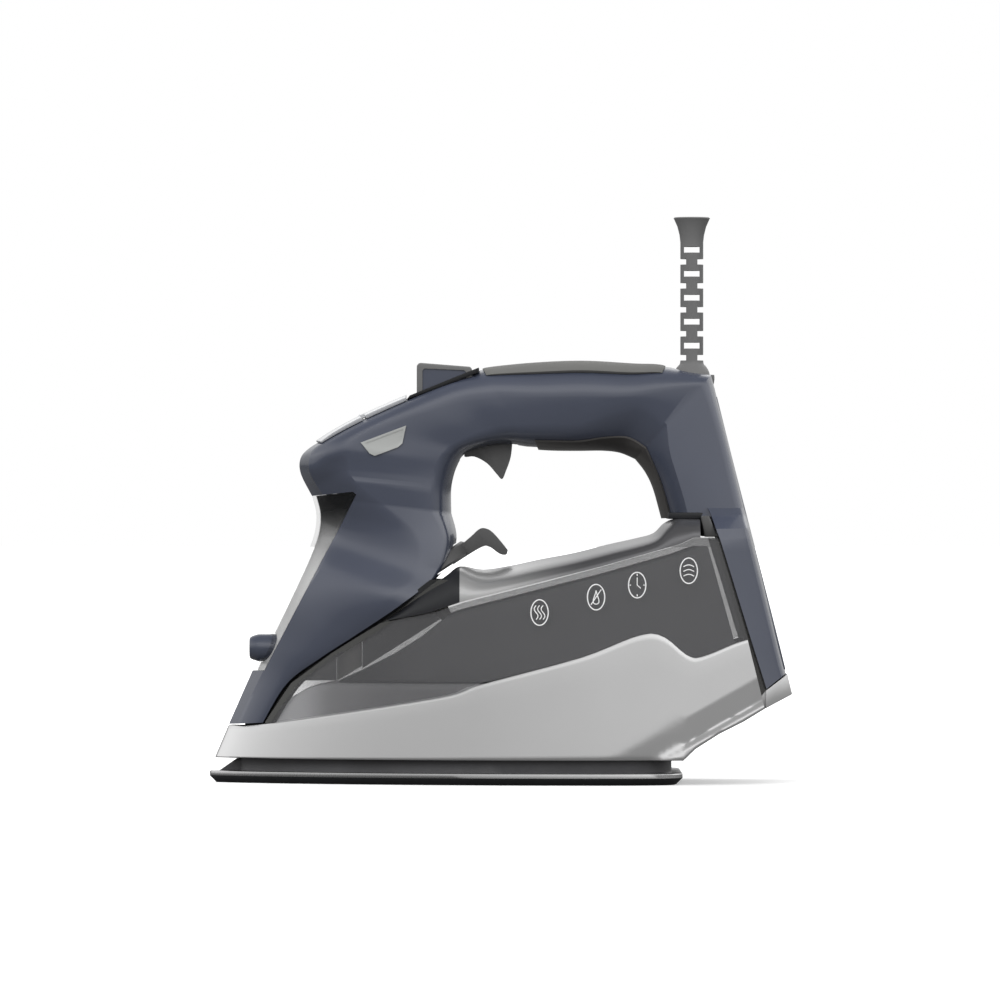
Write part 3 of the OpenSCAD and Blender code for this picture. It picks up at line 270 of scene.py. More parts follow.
def wall(name: str, outer: Sequence, inner: Sequence, closed: bool = False) -> Piece:
    """Closed wall between an outer and an inner grid of points.

    Args:
        name: Name of the piece.
        outer: Rows of columns on the outer face.
        inner: The same rows and columns on the inner face.
        closed: Whether the last column joins the first.

    Returns:
        The new object, closed and facing outwards.
    """
    out, inn = np.asarray(outer, float), np.asarray(inner, float)
    if closed:
        ring = np.concatenate([out, inn[::-1], out[:1]])
        points = np.concatenate([ring, ring[:, :1]], axis=1)
    else:
        body = np.concatenate([out, inn[:, ::-1], out[:, :1]], axis=1)
        flat = np.concatenate([out, out[:, ::-1], out[:, :1]], axis=1)
        points = np.concatenate([flat[:1], body, flat[-1:]])
    return tidy_mesh(sheet(name, points))


def loft(name: str, rings: Sequence[Points]) -> Piece:
    """Closed solid through rings of points; a ring reads the same from both its ends, mirrored in y."""
    grid = np.asarray(rings, float)
    return wall(name, grid[:, :grid.shape[1] // 2], grid[:, ::-1][:, :grid.shape[1] // 2])


def prism(name: str, outline: Points, y0: float, y1: float) -> Piece:
    """Solid of a side-view outline, extruded across the iron.

    Args:
        name: Name of the piece.
        outline: Points [x, z] in millimetres.
        y0: Where it starts, in millimetres.
        y1: Where it ends, in millimetres.

    Returns:
        The new object.
    """
    start_piece()
    bpy.ops.mesh.primitive_circle_add(vertices=len(outline), radius=1, fill_type="NGON")
    solid = bpy.context.active_object
    for vertex, (x, z) in zip(solid.data.vertices, outline):
        vertex.co = (x * MM, y0 * MM, z * MM)
    move = (0, (y1 - y0) * MM, 0)
    edit_all(solid, lambda: bpy.ops.mesh.extrude_region_move(TRANSFORM_OT_translate={"value": move}))
    return tidy_mesh(named(solid, name))


def plate(name: str, outline: Points, z0: float, z1: float) -> Piece:
    """Solid of a plan outline [x, y], extruded from z0 up to z1, in millimetres.

    Args:
        name: Name of the piece.
        outline: Points [x, y].
        z0: Height of its lower face.
        z1: Height of its upper face.

    Returns:
        The new object.
    """
    solid = prism(name, outline, -z0, -z1)
    solid.data.transform(Matrix.Rotation(math.radians(-90), 4, "X"))
    solid.data.transform(Matrix.Scale(-1, 4, (0, 1, 0)))
    return tidy_mesh(solid)


def spun(name: str, profile: Sequence[Pair], steps: int = 48) -> Piece:
    """Solid of revolution about the z axis.

    Args:
        name: Name of the piece.
        profile: Closed outline of [radius, z] in millimetres.
        steps: Steps of the turn.

    Returns:
        The new object, to be laid in place with its mesh's transform.
    """
    start_piece()
    bpy.ops.mesh.primitive_circle_add(vertices=len(profile), radius=1, fill_type="NOTHING")
    solid = bpy.context.active_object
    for vertex, (r, z) in zip(solid.data.vertices, profile):
        vertex.co = (r * MM, 0, z * MM)
    edit_all(solid, lambda: bpy.ops.mesh.spin(steps=steps, angle=math.tau, center=(0, 0, 0), axis=(0, 0, 1)))
    return tidy_mesh(named(solid, name), 0.01)


def rod(name: str, radius: float, start: Sequence[float], end: Sequence[float], sides: int = 48) -> Piece:
    """Cylinder of a radius from one point to another, in millimetres.

    Args:
        name: Name of the piece.
        radius: Its radius.
        start: Middle of one end.
        end: Middle of the other end.
        sides: Faces round it.

    Returns:
        The new object.
    """
    a, b = Vector(start) * MM, Vector(end) * MM
    start_piece()
    bpy.ops.mesh.primitive_cylinder_add(vertices=sides, radius=radius * MM, depth=(b - a).length)
    solid = named(bpy.context.active_object, name)
    turn = (b - a).to_track_quat("Z", "Y").to_matrix().to_4x4() @ Matrix.Rotation(ROD_TURN, 4, "Z")
    solid.data.transform(Matrix.Translation((a + b) / 2) @ turn)
    return solid


def ball(name: str, radius: float, centre: Sequence[float]) -> Piece:
    """Sphere of a radius in millimetres about a centre.

    Args:
        name: Name of the piece.
        radius: Its radius.
        centre: Its centre.

    Returns:
        The new object.
    """
    start_piece()
    bpy.ops.mesh.primitive_uv_sphere_add(segments=64, ring_count=32, radius=radius * MM)
    solid = named(bpy.context.active_object, name)
    solid.data.transform(shifted(centre))
    return solid


def block(name: str, low: Sequence[float], high: Sequence[float]) -> Piece:
    """Box between two corners, in millimetres.

    Args:
        name: Name of the piece.
        low: Lowest corner.
        high: Highest corner.

    Returns:
        The new object.
    """
    a, b = Vector(low) * MM, Vector(high) * MM
    start_piece()
    bpy.ops.mesh.primitive_cube_add(size=1)
    solid = named(bpy.context.active_object, name)
    solid.data.transform(Matrix.Translation((a + b) / 2) @ Matrix.Diagonal((*(b - a), 1)))
    return solid


def mirrored(obj: Piece, name: str) -> Piece:
    """Copy of obj across the middle plane, with its own mesh.

    Args:
        obj: The piece.
        name: Name of the copy.

    Returns:
        The copy.
    """
    copy = bpy.data.objects.new(name, obj.data.copy())
    bpy.context.scene.collection.objects.link(copy)
    copy.data.transform(Matrix.Scale(-1, 4, (0, 1, 0)))
    return tidy_mesh(named(copy, name))


def paint_faces(obj: Piece, slot: int, chosen: Callable[[bpy.types.MeshPolygon], bool]) -> None:
    """Gives the chosen faces the material in that slot of obj.

    Args:
        obj: The piece.
        slot: Number of the material slot.
        chosen: Says whether a face takes it.
    """
    for face in obj.data.polygons:
        if chosen(face):
            face.material_index = slot


# ---- finishes
def linear(code: str) -> tuple[float, float, float, float]:
    """Linear colour of an sRGB hex code."""
    parts = [int(code[i:i + 2], 16) / 255 for i in (1, 3, 5)]
    return (*(c / 12.92 if c <= 0.04045 else ((c + 0.055) / 1.055) ** 2.4 for c in parts), 1.0)


def add_node(tree: Tree, kind: str, settings: Optional[dict] = None,
             links: Optional[dict] = None) -> bpy.types.Node:
    """Adds one node with its settings and links.

    Args:
        tree: The node tree.
        kind: Type of the node.
        settings: Property or socket names, with their values.
        links: Socket names of the node, each with the output that feeds it.

    Returns:
        The new node.
    """
    node = tree.nodes.new(kind)
    for key, value in (settings or {}).items():
        if isinstance(key, int) or key in node.inputs:
            node.inputs[key].default_value = value
        else:
            setattr(node, key, value)
    for key, output in (links or {}).items():
        tree.links.new(output, node.inputs[key])
    return node


@dataclass(frozen=True)
class Fade:
    """Change of a finish along one axis, from its own colour at start to another at end, in millimetres."""

    axis: str
    start: float
    end: float
    colour: str
    alpha: Optional[float] = None


@dataclass(frozen=True)
class Finish:
    """A moulded, painted or bare finish.

    The colour wanders between two close shades, the roughness drifts a little, and a fine grain
    raises the surface, each at its own size in millimetres.
    """

    name: str
    colour: str
    shade: str
    roughness: float
    metallic: float = 0.0
    specular: float = 0.5
    coat: float = 0.0
    coat_roughness: float = 0.1
    alpha: float = 1.0
    grain: float = 0.6
    grain_depth: float = 0.0
    drift: float = 40.0
    streaks: tuple[float, float, float] = (1.0, 1.0, 1.0)
    roughness_spread: float = 0.04
    fade: Optional[Fade] = None

    def material(self) -> bpy.types.Material:
        """Returns this finish as a material, made on the first call.

        Returns:
            The material.
        """
        found = bpy.data.materials.get(self.name)
        if found:
            return found
        made = bpy.data.materials.new(self.name)
        made.use_nodes = True
        tree = made.node_tree
        shader = tree.nodes["Principled BSDF"]
        for socket, value in {"Metallic": self.metallic, "Specular IOR Level": self.specular,
                              "Coat Weight": self.coat, "Coat Roughness": self.coat_roughness,
                              "Alpha": self.alpha}.items():
            shader.inputs[socket].default_value = value
        place = add_node(tree, "ShaderNodeTexCoord")
        turned = add_node(tree, "ShaderNodeMapping", {"Scale": self.streaks}, {"Vector": place.outputs["Object"]})
        slow = add_node(tree, "ShaderNodeTexNoise", {"Scale": 1 / (self.drift * MM), "Detail": 3.0},
                        {"Vector": turned.outputs[0]})
        fine = add_node(tree, "ShaderNodeTexNoise", {"Scale": 1 / (self.grain * MM), "Detail": 2.0},
                        {"Vector": turned.outputs[0]})
        ramp = add_node(tree, "ShaderNodeValToRGB", None, {"Fac": slow.outputs["Fac"]})
        ramp.color_ramp.elements[0].position = 0.3
        ramp.color_ramp.elements[1].position = 0.7
        ramp.color_ramp.elements[0].color = linear(self.colour)
        ramp.color_ramp.elements[1].color = linear(self.shade)
        drift = add_node(tree, "ShaderNodeMapRange",
                         {"To Min": self.roughness - self.roughness_spread,
                          "To Max": self.roughness + self.roughness_spread}, {"Value": fine.outputs["Fac"]})
        colour = ramp.outputs["Color"]
        if self.fade:
            colour = self.add_fade(tree, shader, place.outputs["Object"], colour)
        if self.grain_depth:
            bump = add_node(tree, "ShaderNodeBump", {"Strength": 1.0, "Distance": self.grain_depth * MM},
                            {"Height": fine.outputs["Fac"]})
            tree.links.new(bump.outputs["Normal"], shader.inputs["Normal"])
        tree.links.new(colour, shader.inputs["Base Color"])
        tree.links.new(drift.outputs["Result"], shader.inputs["Roughness"])
        return made

    def add_fade(self, tree: Tree, shader: bpy.types.Node, place: Socket,
                 colour: Socket) -> Socket:
        """Adds the fade's nodes.

        Args:
            tree: The material's nodes.
            shader: Its shader, which takes the faded alpha.
            place: Object coordinates.
            colour: The colour that the fade starts from.

        Returns:
            The faded colour.
        """
        parts = add_node(tree, "ShaderNodeSeparateXYZ", None, {0: place})
        way = add_node(tree, "ShaderNodeMapRange",
                       {"interpolation_type": "SMOOTHSTEP", "From Min": self.fade.start * MM,
                        "From Max": self.fade.end * MM}, {"Value": parts.outputs[self.fade.axis]})
        if self.fade.alpha is not None:
            clear = add_node(tree, "ShaderNodeMapRange", {"To Min": self.alpha, "To Max": self.fade.alpha},
                             {"Value": way.outputs["Result"]})
            tree.links.new(clear.outputs["Result"], shader.inputs["Alpha"])
        blend = add_node(tree, "ShaderNodeMix", {"data_type": "RGBA"}, {0: way.outputs["Result"]})
        tree.links.new(colour, blend.inputs[6])
        blend.inputs[7].default_value = linear(self.fade.colour)
        return blend.outputs[2]


# Glossy ABS with a fine moulded grain: clear soft reflections over an even slate blue
NAVY_ABS = Finish("Slate blue ABS, moulded", "#434856", "#464B5A", 0.24, specular=0.7, coat=0.5, coat_roughness=0.12,
                  grain=0.5, grain_depth=0.002)
# The same ABS pressed through a matt tool: wide highlights on small inner faces; also used as painted shade on the
# cover's front and the pillar's sill
CHARCOAL_ABS_AND_PAINTED_SHADE = Finish("Charcoal ABS, moulded", "#1C1D20", "#222326", 0.35, grain=0.5, grain_depth=0.005)
# Silver lacquer on ABS: metal flakes in a clear layer give a bright, slightly soft mirror
SILVER_LACQUER = Finish("Silver lacquer on ABS", "#D6D6D6", "#DADADA", 0.32, metallic=0.8, grain=0.4,
                        drift=60)
# Grey metallic lacquer of the tank's cover: light in front, with painted shade that darkens it to dark grey towards
# the rear
COVER_LACQUER_WITH_PAINTED_SHADE = Finish("Gunmetal lacquer, painted shade towards the rear", "#C4C4C4", "#C8C8C8", 0.3, metallic=0.7, coat=0.2,
                       coat_roughness=0.06, grain=0.4, drift=60,
                       fade=Fade("X", -14, 44, "#6C6C6E"))
# Grey-brown metallic lacquer of the trim: soft bright and dark bands along its bend
TRIM_LACQUER = Finish("Gunmetal lacquer on ABS", "#5E5C5A", "#656361", 0.3, metallic=0.7, grain=0.4,
                      drift=60)
# White glossy ABS: bright, with a clear top reflection
WHITE_ABS = Finish("White ABS, polished tool", "#D2D3D5", "#D8D9DB", 0.2, grain=0.5, grain_depth=0.001)
# Satin silver plates of the cheeks: even grey with a bright rim
SATIN_PLATE = Finish("Satin silver plate", "#B8BAB8", "#BDBFBD", 0.4, metallic=0.4, grain=0.3, grain_depth=0.003)
# Grey thermoplastic rubber: matt, with a soft fine texture that scatters light widely
GREY_RUBBER = Finish("Grey thermoplastic rubber", "#626260", "#686866", 0.6, specular=0.35, grain=0.35,
                     grain_depth=0.02)
# Grey polyamide of the cord guard and buttons: half matt, slightly mottled
GREY_NYLON = Finish("Grey polyamide, moulded", "#6C6C6C", "#737373", 0.45, specular=0.4, grain=0.4,
                    grain_depth=0.01)
# Dark grey polyamide of levers: a little glossier than the rubber
LEVER_NYLON = Finish("Dark grey polyamide, moulded", "#505050", "#565656", 0.4, specular=0.4, grain=0.4,
                     grain_depth=0.008)
# Black rubber gasket: deep and matt
BLACK_RUBBER = Finish("Black silicone rubber", "#101113", "#161719", 0.5, grain=0.3, grain_depth=0.005)
# Ground and polished die-cast aluminium: long faint grinding streaks along the iron
POLISHED_ALUMINIUM = Finish("Aluminium, ground edge", "#B8B8B8", "#C2C2C2", 0.28, metallic=1.0, grain=0.3,
                            grain_depth=0.002, streaks=(0.06, 1.0, 1.0))
# Ceramic enamel on the sole: dark, hard and glossy with fine flecks
SOLE_ENAMEL = Finish("Dark ceramic enamel", "#1E1F21", "#26272A", 0.22, coat=0.4, coat_roughness=0.05, grain=0.25,
                     grain_depth=0.002, drift=3)
# Phenolic resin of the heat shield: dark and half matt with a cloudy body
PHENOLIC = Finish("Phenolic resin, moulded", "#3C3C3E", "#464648", 0.35, grain=0.6, grain_depth=0.006, drift=20)
# Clear smoky polycarbonate: the grey tint deepens towards the rear, and what lies behind shows through
SMOKY_PC = Finish("Smoky polycarbonate", "#6E6E70", "#727274", 0.08, alpha=0.28, coat=0.5, coat_roughness=0.02,
                  grain=2.0, roughness_spread=0.02, fade=Fade("X", -98, -78, "#606062", 0.4))
# Thick rim of the smoky window: dark, because one looks along the wall
SMOKY_RIM = Finish("Smoky polycarbonate, rim", "#3A3A38", "#40403E", 0.12, alpha=0.86, coat=0.4, coat_roughness=0.03,
                   grain=2.0, roughness_spread=0.02)
# Clear polycarbonate of the prow: faint tint and hard gloss
CLEAR_PC = Finish("Clear polycarbonate", "#2A2C2E", "#303234", 0.05, alpha=0.12, coat=0.6, coat_roughness=0.02,
                  grain=2.0, roughness_spread=0.02)
# Tinted tank body: glossy and grey, with painted shade that turns it near black under the prow
TANK_PP_WITH_PAINTED_SHADE = Finish("Grey polypropylene, painted shade under the prow", "#0E0E0F", "#141415", 0.3, specular=0.4, grain=0.6, grain_depth=0.002,
                 fade=Fade("X", -78, -28, "#7C7C7E"))
# Bright lacquer of the tray behind the window, with painted shade that greys it towards the rear
TRAY_LACQUER_WITH_PAINTED_SHADE = Finish("Bright silver lacquer, painted shade towards the rear", "#E6E6E8", "#ECECEE", 0.3, metallic=0.2, grain=0.6,
                      fade=Fade("X", -96, -50, "#BEBEC0"))
# Lacquer behind the prow's window: bright below, with a painted black reflection of the nose's underside above
PROW_LACQUER_WITH_PAINTED_REFLECTION = Finish("Silver lacquer, painted reflection of the nose", "#F0F0F0", "#F4F4F4", 0.22, metallic=0.3, grain=0.6,
                      fade=Fade("Z", 96, 134, "#0C0C0D"))
# Screen-printed white ink: flat and slightly chalky
WHITE_INK = Finish("White screen-print ink", "#F2F2F2", "#F6F6F6", 0.5, grain=0.3, grain_depth=0.002)
# Cast aluminium inside the iron: grey, rough from the die
CAST_ALUMINIUM = Finish("Aluminium, die-cast", "#8E8F92", "#9A9B9E", 0.5, metallic=1.0, grain=0.8, grain_depth=0.05)
# Zinc-plated steel of screws, pins and springs
ZINC_STEEL = Finish("Steel, zinc-plated", "#B8BABD", "#C4C6C8", 0.3, metallic=1.0, grain=0.3, grain_depth=0.004)
# Steel tube of the heating element: dull grey with a brown heat tint
ELEMENT_STEEL = Finish("Steel tube, heat-tinted", "#5E5852", "#6B645D", 0.4, metallic=1.0, grain=0.5,
                       grain_depth=0.01)
# Steatite ceramic of the thermostat and fuse holder
STEATITE = Finish("Steatite ceramic", "#D9D3C4", "#E0DACB", 0.55, grain=0.5, grain_depth=0.02)
# Natural acetal of pumps, valves and plungers: milky and waxy
ACETAL = Finish("Acetal, natural white", "#D6D2C6", "#DDD9CE", 0.35, grain=0.6, grain_depth=0.006)
# Clear silicone hose: milky, soft shine
SILICONE_HOSE = Finish("Silicone tube, milky", "#D2CFC4", "#DAD7CD", 0.3, grain=0.8, grain_depth=0.006)
# Silicone sheath of the leads: red-brown and soft
LEAD_SHEATH = Finish("Silicone lead, red-brown", "#7A3B34", "#843F38", 0.45, grain=0.4, grain_depth=0.01)
# Green solder mask over glass fibre: smooth, with a faint weave
CIRCUIT_BOARD = Finish("Solder mask on glass fibre", "#2F6B3F", "#387748", 0.35, grain=0.7, grain_depth=0.01)


def dress(obj: Piece, *finishes: Finish) -> Piece:
    """Gives obj these finishes as its material slots.

    Args:
        obj: The piece.
        finishes: The finishes, in the order of the slots.

    Returns:
        The same piece.
    """
    obj.data.materials.clear()
    for finish in finishes:
        obj.data.materials.append(finish.material())
    return obj


def place_piece(obj: Piece, slot: str, *nodes: str, finish: Optional[Finish] = None,
                angle: float = 35.0, body: Body = Body.HOUSING) -> None:
    """Shades a finished piece and sets it on its body.

    Args:
        obj: The piece.
        slot: Name of the piece's slot; not used.
        nodes: CAD nodes that it stands for.
        finish: Its finish, where one covers all of it.
        angle: Edges sharper than this many degrees stay crisp.
        body: The body that it rides on.
    """
    if finish:
        dress(obj, finish)
    activate(obj)
    bpy.ops.object.shade_smooth_by_angle(angle=math.radians(angle))
    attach(obj, body.value)
    if nodes:
        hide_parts(*nodes)
    log.info("%s: %d faces on %s", obj.name, len(obj.data.polygons), body.value)


# ---- the body's form
@dataclass(frozen=True)
class BodyForm:
    """Outer form of the lower body, in millimetres: an iron-shaped plan that leans in with height."""

    half: float = 54.0
    lean: float = 0.07
    wide_x: float = 50.0
    base_z: float = 11.8
    heel_foot: Pair = (139.0, 43.2)
    heel_top: Pair = (101.5, 195.4)
    front_edge: tuple[Pair, ...] = ((11.8, -136.6), (30.2, -128.9), (53.3, -118.8), (76.3, -107.8),
                                    (95.5, -98.6), (107, -93.4), (118.6, -89))
    seam_edge: tuple[Pair, ...] = ((28.8, -114), (47.5, -101.5), (63.4, -79.9), (76.8, -57.8), (97.4, -30.5))
    skirt_edge: tuple[Pair, ...] = ((-130, 27.6), (-108.4, 28.8), (-28.6, 41.4), (-9.4, 47.5), (38.6, 60.5),
                                    (71.7, 72), (88.8, 61.8), (96, 61), (111.4, 67.1), (118, 69.2))
    under_edge: tuple[Pair, ...] = ((87.1, 11.8), (92.9, 17.3), (104.4, 24.5), (115.9, 30.2), (126.2, 36.4),
                                    (139, 43.2))
    groove_edge: tuple[Pair, ...] = ((-57.8, 76.8), (-33.4, 81.5), (-18, 86.7), (48.2, 103.5), (85.5, 114.1),
                                     (92, 117.2), (104.2, 117.2))

    def plan_half(self, x: float, x0: float, x1: float, half: float) -> float:
        """Half width at x of an iron-shaped plan from its tip at x0 to its rear at x1.

        Args:
            x: Place along the iron.
            x0: Place of the tip.
            x1: Place of the rear edge.
            half: Largest half width.

        Returns:
            The half width.
        """
        if x < self.wide_x:
            share = max(0.0, 1 - (1 - (x - x0) / (self.wide_x - x0)) ** 2)
            return max(0.02 * half, half * share ** 0.8)
        return half * (1 - 0.13 * ((x - self.wide_x) / (x1 - self.wide_x)) ** 2)

    def prow_x(self, z: float) -> float:
        """Place of the front edge at height z."""
        return look_up(self.front_edge, z)

    def body_half(self, x: float, z: float) -> float:
        """Half width of the body at x and height z."""
        return self.plan_half(x, self.prow_x(z), self.heel_foot[0], self.half - self.lean * (z - self.base_z))

    def heel_x(self, z: float) -> float:
        """Place of the rear face at height z."""
        (x0, z0), (x1, z1) = self.heel_foot, self.heel_top
        return mix(x0, x1, (z - z0) / (z1 - z0))

    def under_z(self, x: float) -> float:
        """Height of the body's lower edge at x."""
        return look_up(self.under_edge, x)

    def skirt_z(self, x: float) -> float:
        """Height of the silver skirt's upper edge at x, rounded at its lobes."""
        return look_up(smooth_rows(self.skirt_edge, 6), x)

    def groove_z(self, x: float) -> float:
        """Height of the groove between the window and the cover at x."""
        return look_up(self.groove_edge, x)

    def heel_lean(self) -> float:
        """Angle by which the rear face leans forwards, in radians."""
        (x0, z0), (x1, z1) = self.heel_foot, self.heel_top
        return math.atan2(x0 - x1, z1 - z0)

    def seam_x(self, z: float) -> float:
        """Place of the front seam at height z."""
        return look_up(self.seam_edge, z)

    def seam_bow(self, z: float) -> float:
        """How far the front seam bows away from a straight line at height z."""
        (z0, x0), (z1, x1) = self.seam_edge[0], self.seam_edge[3]
        return self.seam_x(z) - mix(x0, x1, (z - z0) / (z1 - z0))

    def ring(self, spots: Sequence[Pair], inset: float, box_ends: bool = False) -> list[list[float]]:
        """Points round the body, from the left rear by the tip to the right rear.

        Args:
            spots: [x, z] of the columns, from the tip to the rear.
            inset: Distance inwards from the outer face.
            box_ends: Whether the tip is a wall across the body, not a point.

        Returns:
            Points [x, y, z].
        """
        side = []
        for x, z in spots:
            tip = max(0.0, 1 - (x - self.prow_x(z)) / 30)
            least = 1.0 if box_ends else 0.4
            shift = 0.0 if box_ends else 2 * inset * tip * tip
            side.append([x + shift, max(least, self.body_half(x, z) - inset), z])
        return [[x, -y, z] for x, y, z in reversed(side)] + side

    def outline(self, x0: float, x1: float, half: float, corner: float) -> list[Pair]:
        """Plan outline of a soleplate-like part with rounded rear corners.

        Args:
            x0: Place of the tip.
            x1: Place of the rear edge.
            half: Largest half width.
            corner: Radius of the rear corners.

        Returns:
            Points [x, y] all round, from the tip's right side.
        """
        xs = [mix(x0, self.wide_x, 1 - math.cos(math.radians(90 * k / 40))) for k in range(40)]
        xs += [mix(self.wide_x, x1 - corner, k / 6) for k in range(6)]
        xs += [x1 - corner + corner * math.sin(math.radians(90 * k / 10)) for k in range(11)]
        side = []
        for x in xs:
            over = max(0.0, x - (x1 - corner))
            side.append((x, self.plan_half(x, x0, x1, half) - corner + math.sqrt(max(0, corner ** 2 - over ** 2))))
        return side + [(x, -y) for x, y in reversed(side)]


FORM = BodyForm()


@dataclass(frozen=True)
class ControlSeats:
    """Places of the buttons, the dial and the cord's ball, which the shells open for, in millimetres."""

    seat_low: Pair = (-44.5, 183.4)
    seat_high: Pair = (-9.8, 196.4)
    seat_half: float = 14.8
    button_x: Pair = (-39.6, -13.2)
    button_w: float = 12.0
    button_pitch: float = 6.8
    dial_centre: tuple[float, float, float] = (-38.0, 0.0, 98.8)
    dial_r: float = 26.4
    dial_t: float = 7.0
    dial_tilt: float = 33.0
    neck_x: float = -72.0
    neck_top: float = 167.3
    trigger_w: float = 10.0

    def dial_axis(self) -> Vector:
        """Direction of the dial's axis."""
        tilt = math.radians(self.dial_tilt)
        return Vector((-math.sin(tilt), 0, math.cos(tilt)))

    def ball_centre(self) -> Vector:
        """Centre of the cord guard's ball."""
        return Vector((FORM.heel_top[0] - 9.2, 0, FORM.heel_top[1] - 1.5))


SEATS = ControlSeats()


# ---- soleplate, shield and skirt
@dataclass
class Undercarriage:
    """Soleplate, heat shield, silver skirt, heel foot and the liner behind the clear window, in millimetres."""

    sole_t: float = 5.6
    bevel: float = 3.4
    corner: float = 12.0
    shield_h: float = 6.2
    skirt_wall: float = 2.4
    nest_gap: float = 0.9
    shield_tip: float = -124.9
    hole_r: float = 1.5
    holes: int = 9
    hole_run: Pair = (-98.9, 20.0)
    hole_edge: float = 9.0
    heel_slope: float = 0.56
    heel_square: float = 0.87
    waist_depth: float = 1.9
    liner_top_z: float = 48.3
    liner_edge: tuple[Pair, ...] = ((28, -108.4), (40.7, -99.6), (46, -90.4), (48.3, -79.7))
    skirt_cols: tuple[Pair, ...] = ((-136.6, -130), (-134.4, -128), (-129, -122.5), (-120, -114), (-112.5, -108.4),
                                    (-104, -100), (-86, -80), (-58, -54), (-31, -28.6), (-10, -9.4), (14, 14),
                                    (38, 38.6), (56, 56), (71.7, 71.7), (87.1, 88.8), (92.9, 96), (104.4, 103.5),
                                    (115.9, 111.4), (125.9, 117.7))

    def __post_init__(self) -> None:
        """Takes the plates' sizes from the frame."""
        low, high = (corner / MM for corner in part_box("soleplate"))
        self.tip, self.rear, self.half = low.x, high.x, high.y
        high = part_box("heat_shield")[1] / MM
        self.shield_rear, self.shield_half = high.x, high.y

    def rings(self, levels: Sequence[Pair], tip: float, rear: float, half: float) -> Grid:
        """Rings of a plate: for each (height, inset) the plan outline drawn in by the inset.

        Args:
            levels: Pairs of height and inset, from below.
            tip: Place of the tip.
            rear: Place of the rear edge.
            half: Largest half width.

        Returns:
            The rings.
        """
        made = []
        for z, inset in levels:
            outline = FORM.outline(tip + inset, rear - inset, half - inset, self.corner - inset / 2)
            made.append([[x, y, z] for x, y in outline])
        return made

    def soleplate(self) -> None:
        """Plate with a bevelled dark sole, a bright ground rim and two rows of steam holes."""
        levels = [(0, 40), (0, 14), (0, 3.6), (0.25, 3.0), (self.bevel - 0.3, 0.15), (self.bevel, 0),
                  (self.sole_t - 0.6, 0), (self.sole_t - 0.15, 0.2), (self.sole_t, 0.7), (self.sole_t, 14),
                  (self.sole_t, 40)]
        sole = loft("sole_plate", self.rings(levels, self.tip, self.rear, self.half))
        for k in range(self.holes):
            x = mix(*self.hole_run, k / (self.holes - 1))
            y = FORM.plan_half(x, self.shield_tip + 6, self.shield_rear - 3.3, self.shield_half - 3.3) - self.hole_edge
            for side in Side:
                cut_away(sole, rod("hole", self.hole_r, (x, side * y, -1), (x, side * y, self.sole_t + 1), 24))
        dress(sole, POLISHED_ALUMINIUM, SOLE_ENAMEL)
        paint_faces(sole, 1, lambda face: face.center.z < (self.bevel + 0.1) * MM)
        place_piece(sole, "soleplate", "soleplate", angle=25)

    def shield(self) -> None:
        """Dark band between the soleplate and the skirt, with the wedge at its tip."""
        z0, z1 = self.sole_t, self.sole_t + self.shield_h
        outer = self.rings([(z0, 0), (z0 + 0.5, 0.3), (z1 - 0.6, 0.3), (z1, 0.3), (z1 + 8, 0.3)],
                           self.shield_tip, self.shield_rear, self.shield_half)
        inner = self.rings([(z, 3.0) for z in (z0, z0 + 0.5, z1 - 0.6, z1, z1 + 8)],
                           self.shield_tip, self.shield_rear, self.shield_half)
        band = wall("heat_shield_band", outer, inner, closed=True)
        wedge = prism("wedge", [(-134.5, z0), (-126, z1 - 0.3), (self.shield_tip + 2, z1 - 0.3),
                                (self.shield_tip + 2, z0)], -1.2, 1.2)
        made = join_pieces("heat_shield_band", [band, round_edges(wedge, 0.3)])
        place_piece(made, "heat_shield", "heat_shield", finish=PHENOLIC, angle=30)

    def skirt_spots(self, t: float) -> list[Pair]:
        """Columns of the skirt at the share t of its height."""
        return [(mix(low, high, t), mix(FORM.under_z(low), FORM.skirt_z(high), t))
                for low, high in straight_rows(self.skirt_cols, 5)]

    def waisted(self, ring: list[list[float]]) -> list[list[float]]:
        """Draws a ring in above the rolled edge that follows the heel's sloping underside.

        Args:
            ring: Points of one ring of the skirt.

        Returns:
            The ring drawn in.
        """
        x0, z0 = FORM.under_edge[1]
        made = []
        for x, y, z in ring:
            above = (z - z0 - self.heel_slope * (x - x0)) * self.heel_square
            depth = self.waist_depth * look_up([(2, 0), (4.5, 1), (15, 0)], above)
            made.append([x, math.copysign(abs(y) - depth, y), z])
        return made

    def skirt(self) -> None:
        """Silver skirt, with its upper and lower edges rolled in."""
        stations = [(0, 1.2), (0.004, 0.5), (0.02, 0.1), *((t, 0) for t in np.linspace(0.035, 0.5, 22)), (0.75, 0),
                    (0.95, 0), (0.985, 0.06), (1, 0.35)]
        outer = [self.waisted(FORM.ring(self.skirt_spots(t), inset)) for t, inset in stations]
        inner = [self.waisted(FORM.ring(self.skirt_spots(t), self.skirt_wall)) for t, _ in stations]
        shell = wall("skirt_shell", outer, inner)
        place_piece(shell, "skirt", "lower_skirt", finish=SILVER_LACQUER)

    def heel_foot(self) -> None:
        """Foot under the heel that the iron stands on when it is set upright."""
        split = 126.2
        low = list(FORM.under_edge)
        high = [(136.7, 52.8), (split + 0.3, 45.0), (118, 34.9), (104, 27.6), (90, 17.6), (84.5, 14.8), (84.5, 11.8)]
        foot = prism("heel_foot", low + high, -60, 60)
        xs = [84, 94, 104, 115, split, split + 0.1, 132, 139]
        half = [FORM.body_half(x, 36) - (self.skirt_wall + 0.6 if x <= split else 0) for x in xs]
        plan = list(zip(xs, half)) + [(x, -y) for x, y in zip(reversed(xs), reversed(half))]
        keep_within(foot, plate("plan", plan, 0, 80))
        round_edges(foot, 0.8, 3, 30)
        place_piece(foot, "heel_base", "heel_base", finish=SILVER_LACQUER, angle=30)

